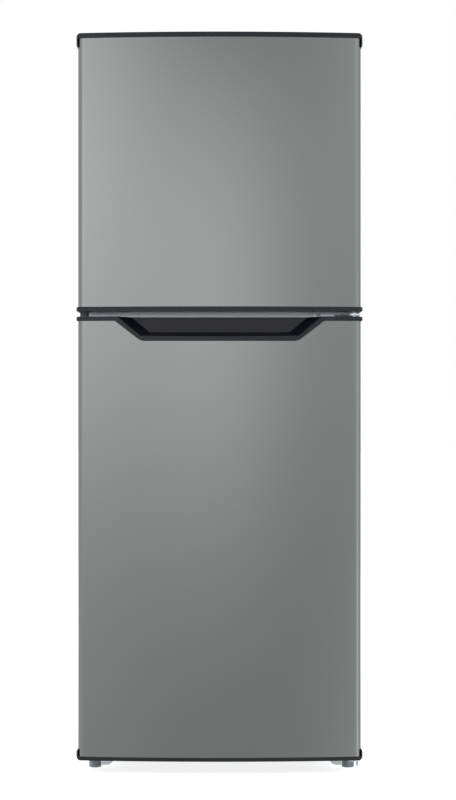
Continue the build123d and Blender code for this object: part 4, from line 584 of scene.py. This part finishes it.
form.to_mesh(numbers)
form.free()
numbers.materials.clear()
numbers.materials.append(print_grey)
dial = link_object("dial_numbers", numbers)
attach(dial, "cabinet")

line_half = 0.0006
line_start = 0.0035
line_end = 0.0095
line_proud = 0.0002
line_depth = 0.0006
line_steps = 8
pointer = bpy.data.meshes.new("grip_line")
form = bmesh.new()
rim = []
for centre, turn in ((line_end, 0), (line_start, math.pi)):
    for step in range(line_steps + 1):
        angle = turn + math.pi * step / line_steps
        across = knob_middle.x + line_half * math.cos(angle)
        up = knob_middle.z + centre + line_half * math.sin(angle)
        rim.append(form.verts.new((across, knob_low.y - line_proud, up)))
face = form.faces.new(rim)
pushed = bmesh.ops.extrude_face_region(form, geom=[face])
inner = [item for item in pushed["geom"] if isinstance(item, bmesh.types.BMVert)]
bmesh.ops.translate(form, verts=inner, vec=(0, line_depth, 0))
bmesh.ops.recalc_face_normals(form, faces=form.faces)
form.to_mesh(pointer)
form.free()
pointer.materials.append(print_grey)
grip_line = link_object("grip_line", pointer)
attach(grip_line, "thermostat_dial")

# Door skins: one sheet of satin steel a door, bowed across the front and folded round
# the sides to a return behind, held by the end caps and the foam inside.
door_steel = finish("door_steel", srgb(150, 154, 153), 0.20, metallic=1.0, tone=0.02, drift=3.0, spread=0.01,
                    grain=700.0, relief=0.000003, stretch=(0.02, 0.02, 1))
skin_corner = 0.010
skin_bow = 0.013
skin_sheet = 0.0008
skin_fold = 0.010
skin_columns = 90
skin_rows = 24
corner_steps = 10
skin_crease = 40


def skin_profile(node):
    """Points of the skin's plan from the right return round the front to the left one."""
    low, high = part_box(node)
    half = high.x
    edge = low.y + skin_bow
    radius = (half**2 + skin_bow**2) / (2 * skin_bow)
    centre_y = low.y + radius
    lean = math.asin((half - skin_corner) / (radius - skin_corner))
    corner = (half - skin_corner, centre_y - (radius - skin_corner) * math.cos(lean))
    points = [(half - skin_fold, high.y), (half, high.y), (half, (high.y + edge) / 2)]
    for step in range(corner_steps + 1):
        angle = (math.pi / 2 - lean) * (1 - step / corner_steps) + lean
        points.append((corner[0] + skin_corner * math.sin(angle), corner[1] - skin_corner * math.cos(angle)))
    for step in range(1, skin_columns // 2 + 1):
        angle = lean * (1 - 2 * step / skin_columns)
        points.append((radius * math.sin(angle), centre_y - radius * math.cos(angle)))
    return points + [(-x, y) for x, y in reversed(points[:-1])]


def skin_sheet_object(name, node, top_of):
    """Skin of one door, whose upper edge follows top_of(x) on the front."""
    low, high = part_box(node)
    profile = skin_profile(node)
    verts = []
    faces = []
    for x, y in profile:
        top = top_of(x) if y < high.y - skin_fold else high.z
        verts += [(x, y, low.z + (top - low.z) * row / skin_rows) for row in range(skin_rows + 1)]
    for column in range(len(profile) - 1):
        for row in range(skin_rows):
            a = column * (skin_rows + 1) + row
            faces.append((a, a + 1, a + skin_rows + 2, a + skin_rows + 1))
    mesh = bpy.data.meshes.new(name + "_sheet")
    mesh.from_pydata(verts, [], faces)
    sheet = link_object(name + "_sheet", mesh)
    wall = sheet.modifiers.new("wall", "SOLIDIFY")
    wall.thickness = skin_sheet
    wall.offset = -1
    solid = bpy.data.meshes.new_from_object(sheet.evaluated_get(bpy.context.evaluated_depsgraph_get()))
    solid.name = name
    bpy.data.objects.remove(sheet)
    solid.shade_smooth()
    solid.set_sharp_from_angle(angle=math.radians(skin_crease))
    return link_object(name, solid)


pocket_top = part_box("fridge_door_handle_cap")[1].z
notch_drop = 0.047
notch_half = 0.1505
notch_slope = math.radians(37.7)
notch_round = 0.024


def notch_edge(x):
    """Height of the lower skin's upper edge, cut out for the pocket of the handle."""
    floor_level = pocket_top - notch_drop
    away = abs(x) - notch_half
    reach = notch_round * math.tan(notch_slope / 2)
    if away <= -reach:
        level = floor_level
    elif away < reach * math.cos(notch_slope):
        level = floor_level + notch_round - math.sqrt(max(notch_round**2 - (away + reach) ** 2, 0))
    else:
        level = floor_level + away * math.tan(notch_slope)
    return min(level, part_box("fridge_door_skin")[1].z)


freezer_skin_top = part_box("freezer_door_skin")[1].z
for body, edge_of in (("freezer_door", lambda x: freezer_skin_top), ("fridge_door", notch_edge)):
    skin = skin_sheet_object(body + "_steel_skin", body + "_skin", edge_of)
    skin.data.materials.append(door_steel)
    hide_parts(body + "_skin")
    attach(skin, body)
